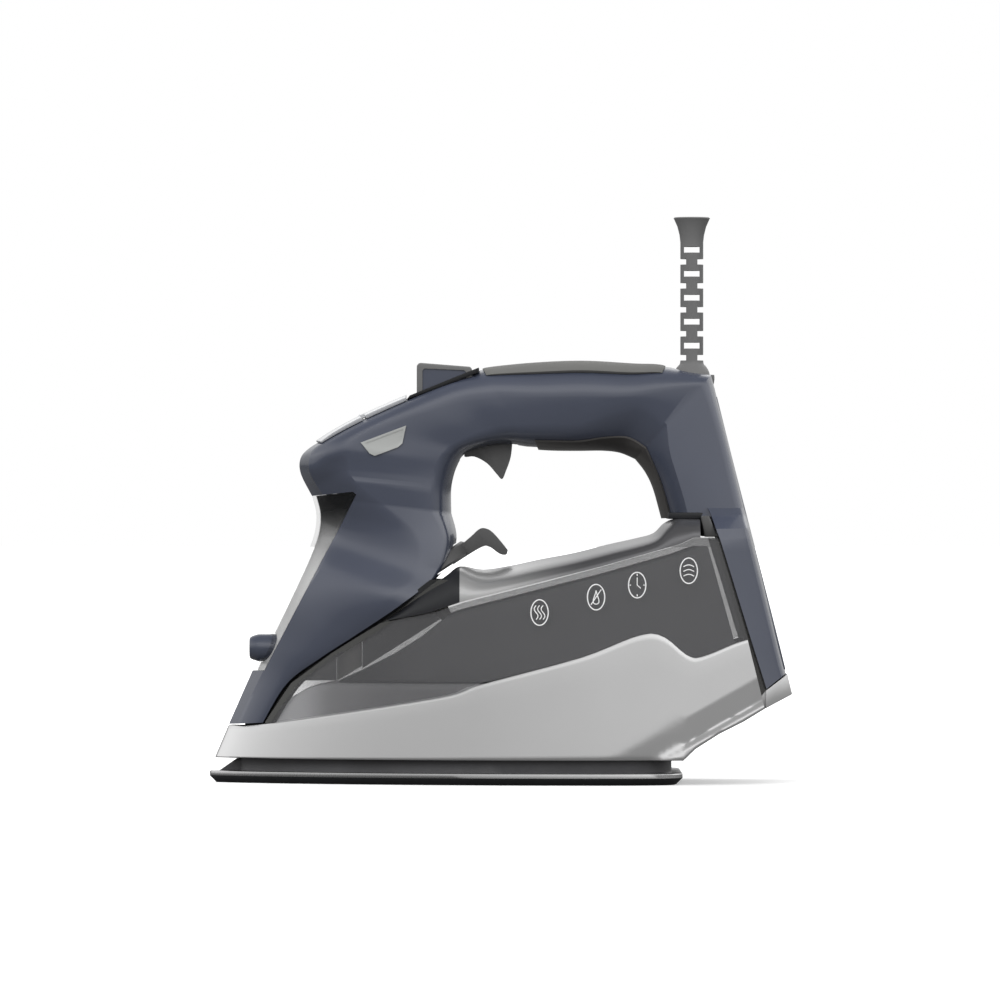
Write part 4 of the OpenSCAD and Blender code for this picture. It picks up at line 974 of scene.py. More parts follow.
    def liner(self) -> None:
        """Silver tray that shows through the clear front of the tank, with painted shade that greys it towards the
        rear.
        """
        inset = self.skirt_wall + self.nest_gap
        rings = []
        for z, draw in ((27, 0), (30, 0), (34, 0), (38, 0), (40.7, 0), (43, 0), (45, 0), (46.6, 0.2), (47.8, 0.9),
                        (self.liner_top_z, 2.2), (self.liner_top_z, 20)):
            x0 = look_up(self.liner_edge, z)
            spots = [(mix(x0, 96, (k / 24) ** 1.3), z) for k in range(25)]
            rings.append(FORM.ring(spots, inset + draw, box_ends=True))
        tray = loft("liner_tray", rings)
        place_piece(tray, "liner", "skirt_liner", finish=TRAY_LACQUER_WITH_PAINTED_SHADE)

    def build(self) -> None:
        """Builds every piece of the undercarriage."""
        self.soleplate()
        self.shield()
        self.skirt()
        self.heel_foot()
        self.liner()


# ---- water tank
@dataclass
class WaterTank:
    """Dark tank body, smoky window round it, metallic cover over it and the latches, in millimetres."""

    inset: float = 3.3
    floor_z: float = 48.6
    foot: Pair = (-77.0, 48.6)
    brow: Pair = (-24.0, 80.0)
    window_wall: float = 2.2
    cover_wall: float = 2.2
    rim_width: float = 4.6
    # Faces of the cover in front of this place are painted charcoal: painted shade of the dark inside seen through the
    # smoky front
    painted_shade_until: float = -17.8
    gap: float = 0.3
    nest_gap: float = 0.9
    rear_half: float = 29.0
    seal_insets: Pair = (3.0, 3.8)
    rear_line: tuple[Pair, ...] = ((124.8, 43), (125.4, 53), (119.5, 68.7), (111.6, 94.5), (104.8, 116.5))
    window_cols: tuple[Pair, ...] = ((-114, -57.8), (-100, -45.6), (-80, -33.4), (-54, -18), (-28.6, -2), (-9.4, 14),
                                     (14, 31), (38.6, 48.2), (56, 62), (71.7, 74), (80.5, 80), (88.8, 85.5),
                                     (96, 92), (111.4, 98), (117.6, 103.2))
    cover_rows: tuple[tuple[float, float, float], ...] = (
        (-53, 79, 24), (-40, 88.8, 27.5), (-26, 98.6, 28), (-19, 103.4, 24), (-8, 102, 8), (5, 103.8, 4),
        (20, 107, 4), (36, 110, 4), (52, 114, 4), (66, 117.1, 6), (74, 119.4, 12), (79, 124, 20),
        (84, 126.2, 26), (92, 126.2, 27), (95.4, 126.2, 28))
    cover_power: float = 2.2

    def body(self) -> None:
        """Dark inner tank with a raked front."""
        rings = []
        for t, draw in ((0, 2), (0.01, 0.6), (0.04, 0), (0.25, 0), (0.5, 0), (0.75, 0), (0.95, 0), (0.985, 0.5),
                        (1, 1.6), (1, 20)):
            x0, x1 = mix(self.foot[0], self.brow[0], t), mix(117, 99, t)
            spots = []
            for j in range(29):
                x = mix(x0, x1, (j / 28) ** 1.2)
                spots.append((x, mix(self.floor_z, FORM.groove_z(x) - 4, t)))
            rings.append(FORM.ring(spots, self.inset + draw, box_ends=True))
        tank = loft("tank_body", rings)
        # Its finish paints shade that turns the tank near black under the prow
        place_piece(tank, "tank", "water_tank", finish=TANK_PP_WITH_PAINTED_SHADE)

    def window_spots(self, t: float) -> list[Pair]:
        """Columns of the window at the share t of its height.

        Args:
            t: Share of the height, from 0 below to 1 above.

        Returns:
            Pairs of x and z.
        """
        cols = straight_rows(self.window_cols, 4)
        spots = []
        for i, (x_low, x_high) in enumerate(cols):
            z = mix(FORM.skirt_z(x_low) + self.gap, FORM.groove_z(x_high), t)
            lead = (1 - i / (len(cols) - 1)) ** 3
            spots.append((mix(x_low, x_high, t) + lead * (FORM.seam_bow(z) + self.nest_gap) + self.gap, z))
        return spots

    def on_front_rim(self, face: bpy.types.MeshPolygon) -> bool:
        """Whether a face lies on the window's thick front rim."""
        x, z = face.center.x / MM, face.center.z / MM
        return x < FORM.seam_x(z) + self.nest_gap + self.rim_width

    def window(self) -> None:
        """Smoky clear window that wraps the tank."""
        levels = [0, 0.02, 0.1, 0.25, 0.4, 0.55, 0.7, 0.85, 0.96, 1]
        outer, inner = [], []
        for t in levels:
            spots = self.window_spots(t)
            outer.append(FORM.ring(spots, 0))
            drawn = [(spots[0][0] + 1.4 * self.window_wall, spots[0][1]), *spots[1:-1],
                     (spots[-1][0] - self.window_wall, spots[-1][1])]
            inner.append(FORM.ring(drawn, self.window_wall, box_ends=True))
        glass = wall("tank_glass", outer, inner, closed=True)
        dress(glass, SMOKY_PC, SMOKY_RIM, BLACK_RUBBER)
        paint_faces(glass, 1, self.on_front_rim)
        paint_faces(glass, 2, lambda face: face.normal.z > 0.8)
        place_piece(glass, "tank_window", "tank_window", angle=40)

    def cover_row(self, x: float) -> tuple[float, float, float, float]:
        """Lower height, upper height, half width of the flat top and half width at the foot, at x.

        Args:
            x: Place along the iron, in millimetres.

        Returns:
            The two heights and the two half widths.
        """
        rows = self.fine_cover_rows()
        z0 = FORM.groove_z(x) + self.gap
        z1 = max(z0 + 0.2, look_up([(at, high) for at, high, _ in rows], x))
        edge = FORM.body_half(x, z0)
        top = max(1.0, min(look_up([(at, half) for at, _, half in rows], x), edge - 0.5))
        return z0, z1, top, edge

    def fine_cover_rows(self) -> list[list[float]]:
        """The cover's rows, four steps between each two."""
        return smooth_rows(self.cover_rows, 4)

    def cover_y(self, x: float, z: float) -> float:
        """Half width of the cover's outer face at x and height z.

        Args:
            x: Place along the iron, in millimetres.
            z: Height, in millimetres.

        Returns:
            The half width.
        """
        z0, z1, top, edge = self.cover_row(x)
        share = min(1.0, max(0.0, (z - z0) / (z1 - z0)))
        return top + (edge - top) * (1 - share ** self.cover_power) ** (1 / self.cover_power)

    def side_y(self, x: float, z: float) -> float:
        """Half width of the tank's outer face at x and height z, window or cover."""
        return FORM.body_half(x, z) if z < FORM.groove_z(x) + self.gap else self.cover_y(x, z)

    def cover(self) -> None:
        """Gunmetal cover that rolls in from the groove to the hand opening."""
        steps, power = 18, 2 / self.cover_power
        outer, inner = [], []
        for row in self.fine_cover_rows():
            x = row[0]
            z0, z1, top, edge = self.cover_row(x)
            for grid, inset in ((outer, 0.0), (inner, self.cover_wall)):
                ring = []
                for k in range(steps + 1):
                    a = math.radians(90 * k / steps)
                    y = max(1.0, top - inset / 2) + (edge - inset - top + inset / 2) * math.cos(a) ** power
                    z = z0 + max(0.1, z1 - inset - z0) * math.sin(a) ** power
                    ring.append([x, max(0.5, y), z])
                grid.append([[x_, -y, z] for x_, y, z in ring] + [[x_, y, z] for x_, y, z in reversed(ring)])
        cap = wall("tank_cover", outer, inner)
        # The cover's lacquer paints shade that darkens it towards the rear, and its front faces are painted charcoal
        # as shade of the dark inside
        dress(cap, COVER_LACQUER_WITH_PAINTED_SHADE, CHARCOAL_ABS_AND_PAINTED_SHADE)
        # The front faces take the charcoal slot, as painted shade
        paint_faces(cap, 1, lambda face: face.center.x < self.painted_shade_until * MM)
        place_piece(cap, "tank_cover", "tank_top_cover", angle=40)

    def strip(self, name: str, line: Sequence[Pair], before: float, after: float) -> Piece:
        """Dark sealing strips behind a side-view line, one on each flank.

        Args:
            name: Name of the piece.
            line: Points [x, z] from the bottom to the top.
            before: How far it reaches forwards.
            after: How far it reaches backwards.

        Returns:
            Both strips as one object.
        """
        fine = smooth_rows(line, 8)
        strips = []
        for side in Side:
            grids = []
            for inset in self.seal_insets:
                grids.append([[[x + dx, side * max(0.6, FORM.body_half(x + dx, z) - inset), z]
                               for dx in np.linspace(-before, after, 9)] for x, z in fine])
            strips.append(wall("strip", *grids))
        return join_pieces(name, strips)

    def seals(self) -> None:
        """Seals behind the gaps round the window, a dark web in front of the tank body as painted shade, and the
        pillar's sill, which closes the gap under the pillar and is dark as painted shade.
        """
        seam = [(x, z) for z, x in FORM.seam_edge]
        for name, line, before, after, finish in (("seam_rim", seam, 0.0, 7.0, SMOKY_RIM),
                                                  ("seam_seal", seam, 2.5, 1.4, BLACK_RUBBER),
                                                  ("rear_seal", self.rear_line, 3.6, 2.4, SMOKY_RIM)):
            place_piece(self.strip(name, line, before, after), "gasket", finish=finish, angle=40)
        half = FORM.body_half(-122, 28) - 2.8
        foot = prism("foot_seal", [(-122, 25.5), (-106, 25.5), (-106, 31), (-122, 29.5)], -half, half)
        place_piece(foot, "gasket", finish=BLACK_RUBBER, angle=40)
        # Dark sheet in front of the tank body: painted shade, not a part of the tank
        web = prism("tank_shade_web", [(-97, 48.8), (-79, 61), (-57, 74.5), (-26, 92), (-24, 81), (-75, 48.8)], -1, 1)
        cut_away(web, rod("neck", 6.3, (SEATS.neck_x, 0, 40), (SEATS.neck_x, 0, 110)))
        place_piece(web, "tank", finish=SMOKY_RIM, angle=40)
        # The sill closes the gap under the pillar; its charcoal colour is painted shade
        sill = prism("pillar_sill", [(80.5, 126.3), (98.5, 126.3), (98.5, 129.4), (80.5, 129.4)], -26, 26)
        place_piece(round_edges(sill, 0.4), "latch", finish=CHARCOAL_ABS_AND_PAINTED_SHADE, angle=30)

    def latches(self) -> None:
        """Release tabs of the tank, one to each side."""
        tabs = []
        for side in Side:
            y0, y1 = sorted((side * (self.rear_half + 2), side * (self.rear_half + 9)))
            tab = prism("tab", [(95.8, 127.6), (99.6, 128), (103.6, 117.8), (97.4, 117.8)], y0, y1)
            tabs.append(round_edges(tab, 0.6))
        pair = join_pieces("tank_latch_tabs", tabs)
        place_piece(pair, "latch", "tank_latch", finish=LEVER_NYLON, angle=32)

    def build(self) -> None:
        """Builds every piece of the tank."""
        self.body()
        self.window()
        self.cover()
        self.seals()
        self.latches()


# ---- the arch of prow, nose, handle and pillar
Section = list[float]


@dataclass
class Arch:
    """Body shells as one run of sections, in millimetres.

    A section is [outer x, outer z, inner x, inner z, outer half width, inner half width, outer round-off,
    inner round-off, outer power, inner power, crease share, facet width, facet share].
    """

    wall_t: float = 2.8
    grip_t: float = 1.7
    handle_half: float = 18.5
    pillar_half: float = 23.0
    rear_half: float = 29.0
    fine: int = 4
    corner_cols: int = 14
    flank_cols: int = 10
    facet_col: float = 5 / 14
    facet_y: float = 0.64

    def seam(self, ox: float, oz: float, ix: float, iz: float) -> Section:
        """Section of the prow that ends on the seam against the tank's window.

        Args:
            ox: Outer edge, x.
            oz: Outer edge, z.
            ix: Inner edge, x.
            iz: Inner edge, z.

        Returns:
            The section.
        """
        reach = math.hypot(ix - ox, iz - oz)
        w = FORM.body_half(ix, iz)
        return [ox, oz, ix, iz, w, w, reach - 1.5, 0.6, 1.2, 6, 0, min(0.36, 5.6 / reach), 0.85]

    def controls(self) -> list[list[Section]]:
        """The four runs of sections that the arch is drawn through.

        Returns:
            Runs that each start with the section that the last one ends with.
        """
        h, p, r = self.handle_half, self.pillar_half, self.rear_half
        top_x, top_z = FORM.heel_top
        prow = [self.seam(-129.9, 27.9, -113, 28.9), self.seam(-121, 48, -101.5, 47.5),
                self.seam(-112.5, 66.6, -85, 60), self.seam(-103.2, 85.9, -68, 71),
                [-93.4, 107, -46, 85.7, 33, 33, 46, 1, 1.25, 6, 0, 0.16, 0.5],
                [-88.8, 119.5, -29.5, 98.5, p + 5, p + 5, 54, 3, 1.3, 4, 0, 0.14, 0.3],
                [-88, 129, -20.8, 115, p + 2, p + 1, 50, 8, 1.4, 2.6, 0, 0.14, 0.4],
                [-90, 137.3, -23.1, 129, p, p, 36, 12, 1.6, 2.3, 0, 0.17, 0.7]]
        nose = [prow[-1],
                [-95.3, 147.8, -23.2, 140, p, p, 26, 12, 1.9, 2.3, 0, 0.2, 0.9],
                [-95.6, 155, -22, 147, p, p - 0.5, 24, 12, 2.1, 2.3, 0, 0.2, 0.8],
                [-91.4, 160.2, -20, 152.5, p, p - 1, 20, 12, 2.3, 2.3, 0, 0.2, 0.4],
                [-82, 165.6, -17.6, 156.4, p - 0.5, p - 1.5, 16, 12, 2.8, 2.3, 0, 0.2, 0],
                [-66, 173.8, -13.5, 159, p - 1, h + 2, 13, 12, 3.2, 2.3, 0, 0.2, 0],
                [-46, 183, -4, 161.4, p - 2, h + 1, 13, 13, 3.4, 2.3, 0, 0.2, 0],
                [-26, 191.8, 5, 162, h + 1, h, 14, 14, 3.4, 2.3, 0, 0.2, 0],
                [-8, 198, 13, 161, h, h, 16, 14, 2.6, 2.2, 0, 0.2, 0]]
        grip = self.grip_t
        handle = [nose[-1],
                  [16, 201.4 - grip, 25, 160.4, h, h - 0.5, 16, 14, 2.2, 2.2, 0, 0.2, 0],
                  [40, 202.1 - grip, 38, 160.3, h, h - 0.5, 16, 14, 2.2, 2.2, 0.05,0.2, 0],
                  [64, 201.1 - grip, 50, 160.3, h, h, 16, 22, 2.2, 2.2, 0.2,0.2, 0],
                  [79.5, 199.3, 58.5, 159.2, h, h + 1, 15, 27, 2.4, 2.2, 0.38,0.2, 0],
                  [top_x, top_z, 66, 156, h, h + 2, 8, 24, 3, 2.2, 0.42,0.2, 0]]
        pillar = [handle[-1],
                  [FORM.heel_x(180), 180, 71, 149.5, mix(h, r, 0.25), h + 3, 6, 16, 3.5, 2.2, 0.42,0.2, 0],
                  [FORM.heel_x(160), 160, 75, 141, mix(h, r, 0.55), h + 5, 5, 13, 4, 2.2, 0.42,0.2, 0],
                  [FORM.heel_x(128.4), 128.4, 79, 126.6, r, h + 8, 5, 13, 4, 2.2, 0.4,0.2, 0]]
        return [prow, nose, handle, pillar]

    def __post_init__(self) -> None:
        """Draws the sections; the solids' row i is section i times self.fine."""
        self.sections: list[Section] = []
        for run in self.controls():
            rows = smooth_rows(run, 2 * self.fine)
            self.sections += rows if not self.sections else rows[1:]

    def section(self, row: float) -> Section:
        """Section at a row of the solids' count, which may lie between two.

        Args:
            row: Row in the solids' count.

        Returns:
            The section there.
        """
        at = min(max(row * self.fine, 0), len(self.sections) - 1)
        i = min(int(at), len(self.sections) - 2)
        a, b = self.sections[i], self.sections[i + 1]
        return [mix(p, q, at - i) for p, q in zip(a, b)]

    def point(self, section: Section, angle: float, inset: float) -> list[float]:
        """Point on a section at an angle: 0 is the outer edge, 90 the flank and 180 the inner edge.

        Args:
            section: The section.
            angle: The angle, in degrees.
            inset: Distance inwards; less than 0 lies outside.

        Returns:
            The point [x, y, z].
        """
        ox, oz, ix, iz, w0, w1, r0, r1, n0, n1, crease, facet, share = section
        reach = math.hypot(ix - ox, iz - oz)
        ax, az = (ix - ox) / reach, (iz - oz) / reach
        outer_len = max(0.4, min(r0, reach - r1 - 0.5) - inset)
        inner_len = max(0.4, r1 - inset)
        if angle <= 90:
            a = math.radians(angle)
            way = mix(1 - max(0.0, math.cos(a)) ** (2 / n0), self.facet_way(angle / 90, facet), share)
            t = inset + outer_len * way
            y = (w0 - inset) * mix(math.sin(a) ** (2 / n0), self.facet_width(angle / 90), share)
        else:
            a = math.radians(180 - angle)
            way = max(0.0, math.cos(a)) ** (2 / n1)
            t = reach - inset - inner_len * (1 - way)
            y = (w1 - inset) * mix(max(0.0, math.sin(a)) ** (2 / n1), 1 - way, crease)
        x, z = ox + ax * t, oz + az * t
        return [x, y * (1 - self.chin_depth(x, z)), z]

    def facet_way(self, s: float, facet: float) -> float:
        """Share of the round-off at the share s of the columns, where a flat facet is facet wide."""
        return look_up([(0, 0), (self.facet_col, facet), (1, 1)], s)

    def facet_width(self, s: float) -> float:
        """Share of the half width at the share s of the columns, with a crease at the facet's edge.

        Args:
            s: Share of the columns, from the outer edge.

        Returns:
            The share of the half width.
        """
        if s < self.facet_col:
            return self.facet_y * s / self.facet_col
        return mix(1, self.facet_y, (1 - (s - self.facet_col) / (1 - self.facet_col)) ** 1.5)

    def chin_depth(self, x: float, z: float) -> float:
        """Share of its width that the cheek draws in below the crease that climbs from the front of the nose.

        Args:
            x: Place along the iron, in millimetres.
            z: Height, in millimetres.

        Returns:
            The share.
        """
        crease_z = look_up([(-96, 147.6), (-89, 151.2), (-74.2, 159.4), (-66, 162)], x)
        below = max(0.0, crease_z - z)
        fade = min(1.0, max(0.0, (-68 - x) / 14)) * min(1.0, max(0.0, (z - 104) / 34))
        return 0.17 * min(1.0, below / 10) * fade

    def half_ring(self, section: Section, inset: float) -> list[list[float]]:
        """Right half of a section, from the outer edge over the flank to the inner edge.

        Args:
            section: The section.
            inset: Distance inwards; less than 0 lies outside.

        Returns:
            Points [x, y, z].
        """
        corner = [90 * k / self.corner_cols for k in range(self.corner_cols + 1)]
        outer = [self.point(section, a, inset) for a in corner]
        inner = [self.point(section, 180 - a, inset) for a in reversed(corner)]
        a, b = outer[-1], inner[0]
        flank = [[mix(a[i], b[i], k / self.flank_cols) for i in range(3)] for k in range(1, self.flank_cols)]
        return outer + flank + inner

    def cap(self, rows: Sequence[float], reach_angle: float, lift: Callable[[float], float],
            cols: int = 16) -> Grid:
        """Grid across the middle that stands square off the arch's outer edge.

        Args:
            rows: Rows in the solids' count.
            reach_angle: How far it reaches round the section, in degrees.
            lift: Distance from the shells for a row.
            cols: Columns to each side.

        Returns:
            Rows of columns of [x, y, z].
        """
        grid = []
        for row in rows:
            section = self.section(row)
            before, after = self.section(row - 0.5), self.section(row + 0.5)
            along = Vector((after[0] - before[0], after[1] - before[1])).normalized()
            line = []
            for k in range(-cols, cols + 1):
                turn = reach_angle * abs(k) / cols
                x, y, z = self.point(section, turn, 0)
                up, out = lift(row) * math.cos(math.radians(turn)), lift(row) * math.sin(math.radians(turn))
                line.append([x - along.y * up, math.copysign(y + out, k) if k else 0.0, z + along.x * up])
            grid.append(line)
        return grid

    def saddle(self, rows: Sequence[float], reach_angle: float, inset: float, cols: int = 16,
               inner: bool = False) -> Grid:
        """Grid across the middle over one edge of the arch.

        Args:
            rows: Rows in the solids' count.
            reach_angle: How far it reaches round the section, in degrees.
            inset: Distance inwards; less than nothing lies outside the shells.
            cols: Columns to each side.
            inner: Whether it lies over the inner edge.

        Returns:
            Rows of columns of [x, y, z].
        """
        grid = []
        for row in rows:
            section = self.section(row)
            line = []
            for k in range(-cols, cols + 1):
                angle = reach_angle * abs(k) / cols
                x, y, z = self.point(section, 180 - angle if inner else angle, inset)
                line.append([x, math.copysign(y, k) if k else 0.0, z])
            grid.append(line)
        return grid


ARCH = Arch()
HINGE_ROW = 24


def outer_edge(row: float) -> Vector:
    """Point of the arch's outer edge in side view, as (x, 0, z) in millimetres."""
    section = ARCH.section(row)
    return Vector((section[0], 0, section[1]))


def spread(first: float, last: float, steps: int) -> list[float]:
    """Evenly spread rows from first to last."""
    return [mix(first, last, k / steps) for k in range(steps + 1)]


@dataclass
class BodyShells:
    """Two navy half shells with the rear band, the cover on the heel, the prow's window and the inlays."""

    neck_r: float = 6.0
    nozzle_z: float = 64.5
    nozzle_r: float = 6.6
    nozzle_tip: float = -120.0
    window_rear: tuple[Pair, ...] = ((-112.6, 53.6), (-83.8, 108.7), (-75.2, 124.6), (-68.4, 138.0))
    window_top: tuple[Pair, ...] = ((-70, 139.3), (-90, 137.3))
    socket_r: float = 11.2
    mouth_r: float = 9.4
    gap: float = 0.3
    plate_t: float = 2.2
    screw_spots: Pair = (24, 112)
    screw_head_r: float = 3.8
    screw_bore_r: float = 2.1
    plate_rows: tuple[Pair, ...] = ((12, 36), (40, 35), (84, 22), (118, 13), (146, 12))

    def window_outline(self, grow: float) -> list[Pair]:
        """Side-view outline of the prow's window, open towards the front.

        Args:
            grow: Distance that it grows by.

        Returns:
            Points [x, z].
        """
        rear = [(x + grow, z) for x, z in self.window_rear]
        rear[0] = (rear[0][0], rear[0][1] - grow)
        top = [(x + grow, z + grow) for x, z in self.window_top]
        return [(-150, 53.6 - grow), *rear, *top, (-150, 131 + grow)]

    def cutters(self) -> list[Piece]:
        """Solids that open the shells for what sits in them.

        Returns:
            The solids.
        """
        axis, centre = SEATS.dial_axis(), Vector(SEATS.dial_centre)
        ball_centre = SEATS.ball_centre()
        low, high = SEATS.seat_low, SEATS.seat_high
        half, width = SEATS.seat_half + 0.3, SEATS.trigger_w / 2 + 0.6
        neck, depth = SEATS.neck_x, SEATS.dial_t / 2 + 0.5
        return [
            rod("cut_nozzle", self.nozzle_r + 0.6, (-125, 0, self.nozzle_z), (-100, 0, self.nozzle_z)),
            prism("cut_window", self.window_outline(0.0), -60, 60),
            prism("cut_seat", [low, high, (high[0], 260), (low[0], 260)], -half, half),
            rod("cut_filler", self.neck_r + 0.3, (neck, 0, 50), (neck, 0, 200)),
            rod("cut_dial", SEATS.dial_r + 0.3, centre - axis * depth, centre + axis * depth, 96),
            block("cut_trigger", (-19, -width, 145), (9, width, 167)),
            ball("cut_ball", self.socket_r, ball_centre),
            rod("cut_mouth", self.mouth_r, ball_centre, ball_centre + Vector((0, 0, 30))),
        ]

    def band_row(self, oz: float, ix: float, iz: float, outer: float, inner: float) -> Section:
        """Section of the rear band, from its rear edge's height, its front edge and both half widths."""
        return [FORM.heel_x(oz), oz, ix, iz, outer, inner, 5, 0.6, 4, 6, 0, 0.2, 0]

    def band(self) -> Piece:
        """Rear band that runs from the pillar's foot down round the heel.

        Returns:
            The band.
        """
        r = ARCH.rear_half
        rows = [self.band_row(131.5, 99, 131.5, r - 0.5, r - 0.5),
                self.band_row(128.4, 100.5, 128.4, r + 1.5, r + 2), self.band_row(122, 102.6, 121.6, 42, 42.5)]
        for wide_at, oz, ix, iz in ((120.9, 116.5, 104.2, 116.5), (126, 94.5, 111, 94.5), (132, 68.7, 118.9, 68.7),
                                    (136, 53.4, 126.2, 45.6)):
            rows.append(self.band_row(oz, ix + self.gap, iz, FORM.body_half(wide_at, oz), FORM.body_half(ix, iz)))
        fine = straight_rows(rows, 4)
        return wall("band", [ARCH.half_ring(s, 0) for s in fine], [ARCH.half_ring(s, ARCH.wall_t) for s in fine])

    def shells(self) -> None:
        """Right shell, cut to shape, and the left one as its mirror image."""
        rows = ARCH.sections
        arch = wall("shell_right", [ARCH.half_ring(s, 0) for s in rows],
                    [ARCH.half_ring(s, ARCH.wall_t) for s in rows])
        cut_away(arch, *self.cutters())
        band = self.band()
        for part in (arch, band):
            cut_away(part, self.heel_plate("cut_recess", self.gap, self.plate_t + 0.3))
        right = tidy_mesh(join_pieces("shell_right", [arch, band]))
        dress(right, NAVY_ABS)
        left = mirrored(right, "shell_left")
        for shell, node in ((right, "main_shell_right"), (left, "main_shell_left")):
            place_piece(shell, "shell", node, angle=24)

    def heel_plate(self, name: str, grow: float, depth: float) -> Piece:
        """Flat plate in the heel's rear face, depth thick and grown by grow all round.

        Args:
            name: Name of the piece.
            grow: Distance that it grows by all round.
            depth: Its thickness.

        Returns:
            The new object.
        """
        right = smooth_rows([(w + grow, up) for up, w in self.plate_rows], 4)
        ends = [right[0], right[-1]]
        right[0][1] = ends[0][1] - grow
        right[-1][1] = ends[1][1] + grow
        outline = [(w, up) for w, up in right] + [(-w, up) for w, up in reversed(right)]
        made = prism(name, outline, 0, depth)
        turn = Matrix.Rotation(math.radians(90), 4, "Z")
        lay = shifted((FORM.heel_foot[0], 0, FORM.heel_foot[1]))
        made.data.transform(lay @ Matrix.Rotation(-FORM.heel_lean(), 4, "Y") @ turn)
        return tidy_mesh(made)

    def heel_cover(self) -> None:
        """Cover over the terminals, held by two screws."""
        made = self.heel_plate("heel_cover", 0, self.plate_t)
        lean = FORM.heel_lean()
        normal = Vector((math.cos(lean), 0, math.sin(lean)))
        up = Vector((-math.sin(lean), 0, math.cos(lean)))
        foot = Vector((FORM.heel_foot[0], 0, FORM.heel_foot[1]))
        for way in self.screw_spots:
            spot = foot + up * way
            cut_away(made, rod("hole", self.screw_head_r, spot - normal * 1.2, spot + normal * 3),
                     rod("bore", self.screw_bore_r, spot - normal * 6, spot + normal * 3))
        round_edges(made, 0.35, 2)
        place_piece(made, "rear_cover", "rear_cover", finish=NAVY_ABS, angle=30)

    def prow_window(self) -> None:
        """Clear window in the prow and the backing behind it, bright below with a painted dark reflection of the nose
        above.
        """
        rows = spread(2.2, 16.5, 70)
        for name, node, slot, insets, finish in (
                ("prow_glass", "front_window", "front_window", (0.02, 1.8), CLEAR_PC),
                ("prow_backing", "front_backing", "front_backing", (2.2, 3.6), PROW_LACQUER_WITH_PAINTED_REFLECTION)):
            skin = wall(name, ARCH.saddle(rows, 88, insets[0], 26), ARCH.saddle(rows, 88, insets[1], 26))
            keep_within(skin, prism("frame", self.window_outline(-0.15), -60, 60))
            cut_away(skin, rod("cut_nozzle", self.nozzle_r + 0.3, (-130, 0, self.nozzle_z),
                               (-95, 0, self.nozzle_z)))
            place_piece(skin, slot, node, finish=finish, angle=30)

    def nozzle(self) -> None:
        """Spray nozzle with a dished face and a fine bore."""
        profile = [(0.8, 1.6), (1.6, 0.4), (2.2, 0.05), (4.2, 0), (5.0, 0.3), (5.7, 1.4), (6.4, 3.6), (6.6, 4.8),
                   (6.6, 14), (3, 14), (3, 24), (0.8, 24)]
        made = spun("spray_nozzle_tip", profile)
        made.data.transform(shifted((self.nozzle_tip, 0, self.nozzle_z))
                            @ Matrix.Rotation(math.radians(90), 4, "Y"))
        place_piece(made, "nozzle", "spray_nozzle", finish=NAVY_ABS)

    def cheek_skin(self, side: Side, lift: float) -> Piece:
        """Skin on one cheek of the nose, from the shell out to lift.

        Args:
            side: The cheek.
            lift: How far its outer face lies from the shell, less than 0 outside.

        Returns:
            The new object.
        """
        grids = []
        for inset in (lift, -0.05):
            rings = [ARCH.half_ring(ARCH.section(row), inset)[8:30] for row in spread(14, 28, 60)]
            grids.append([[[x, side * y, z] for x, y, z in ring] for ring in rings])
        return wall("cheek_skin", *grids)

    def inlays(self) -> None:
        """Bare light plates set into both cheeks of the nose."""
        outline = [(-66.2, 162.8), (-44.6, 170.9), (-46.4, 162.4), (-48.4, 160.6), (-59.6, 156.4), (-62, 157.6)]
        middle = [(-64, 162.5), (-46, 169.2), (-47.5, 163), (-49, 161.6), (-59.3, 157.8), (-61.2, 158.8)]
        plates = []
        for side in Side:
            rim = self.cheek_skin(side, -0.9)
            cut_away(keep_within(rim, prism("frame", outline, -60, 60)), prism("field", middle, -60, 60))
            plates += [rim, keep_within(self.cheek_skin(side, -0.5), prism("frame", middle, -60, 60))]
        pair = join_pieces("cheek_inlays", plates)
        place_piece(pair, "inlay", "side_inlays", finish=SATIN_PLATE, angle=30)

    def build(self) -> None:
        """Builds the shells and what closes them."""
        self.shells()
        self.heel_cover()
        self.prow_window()
        self.nozzle()
        self.inlays()


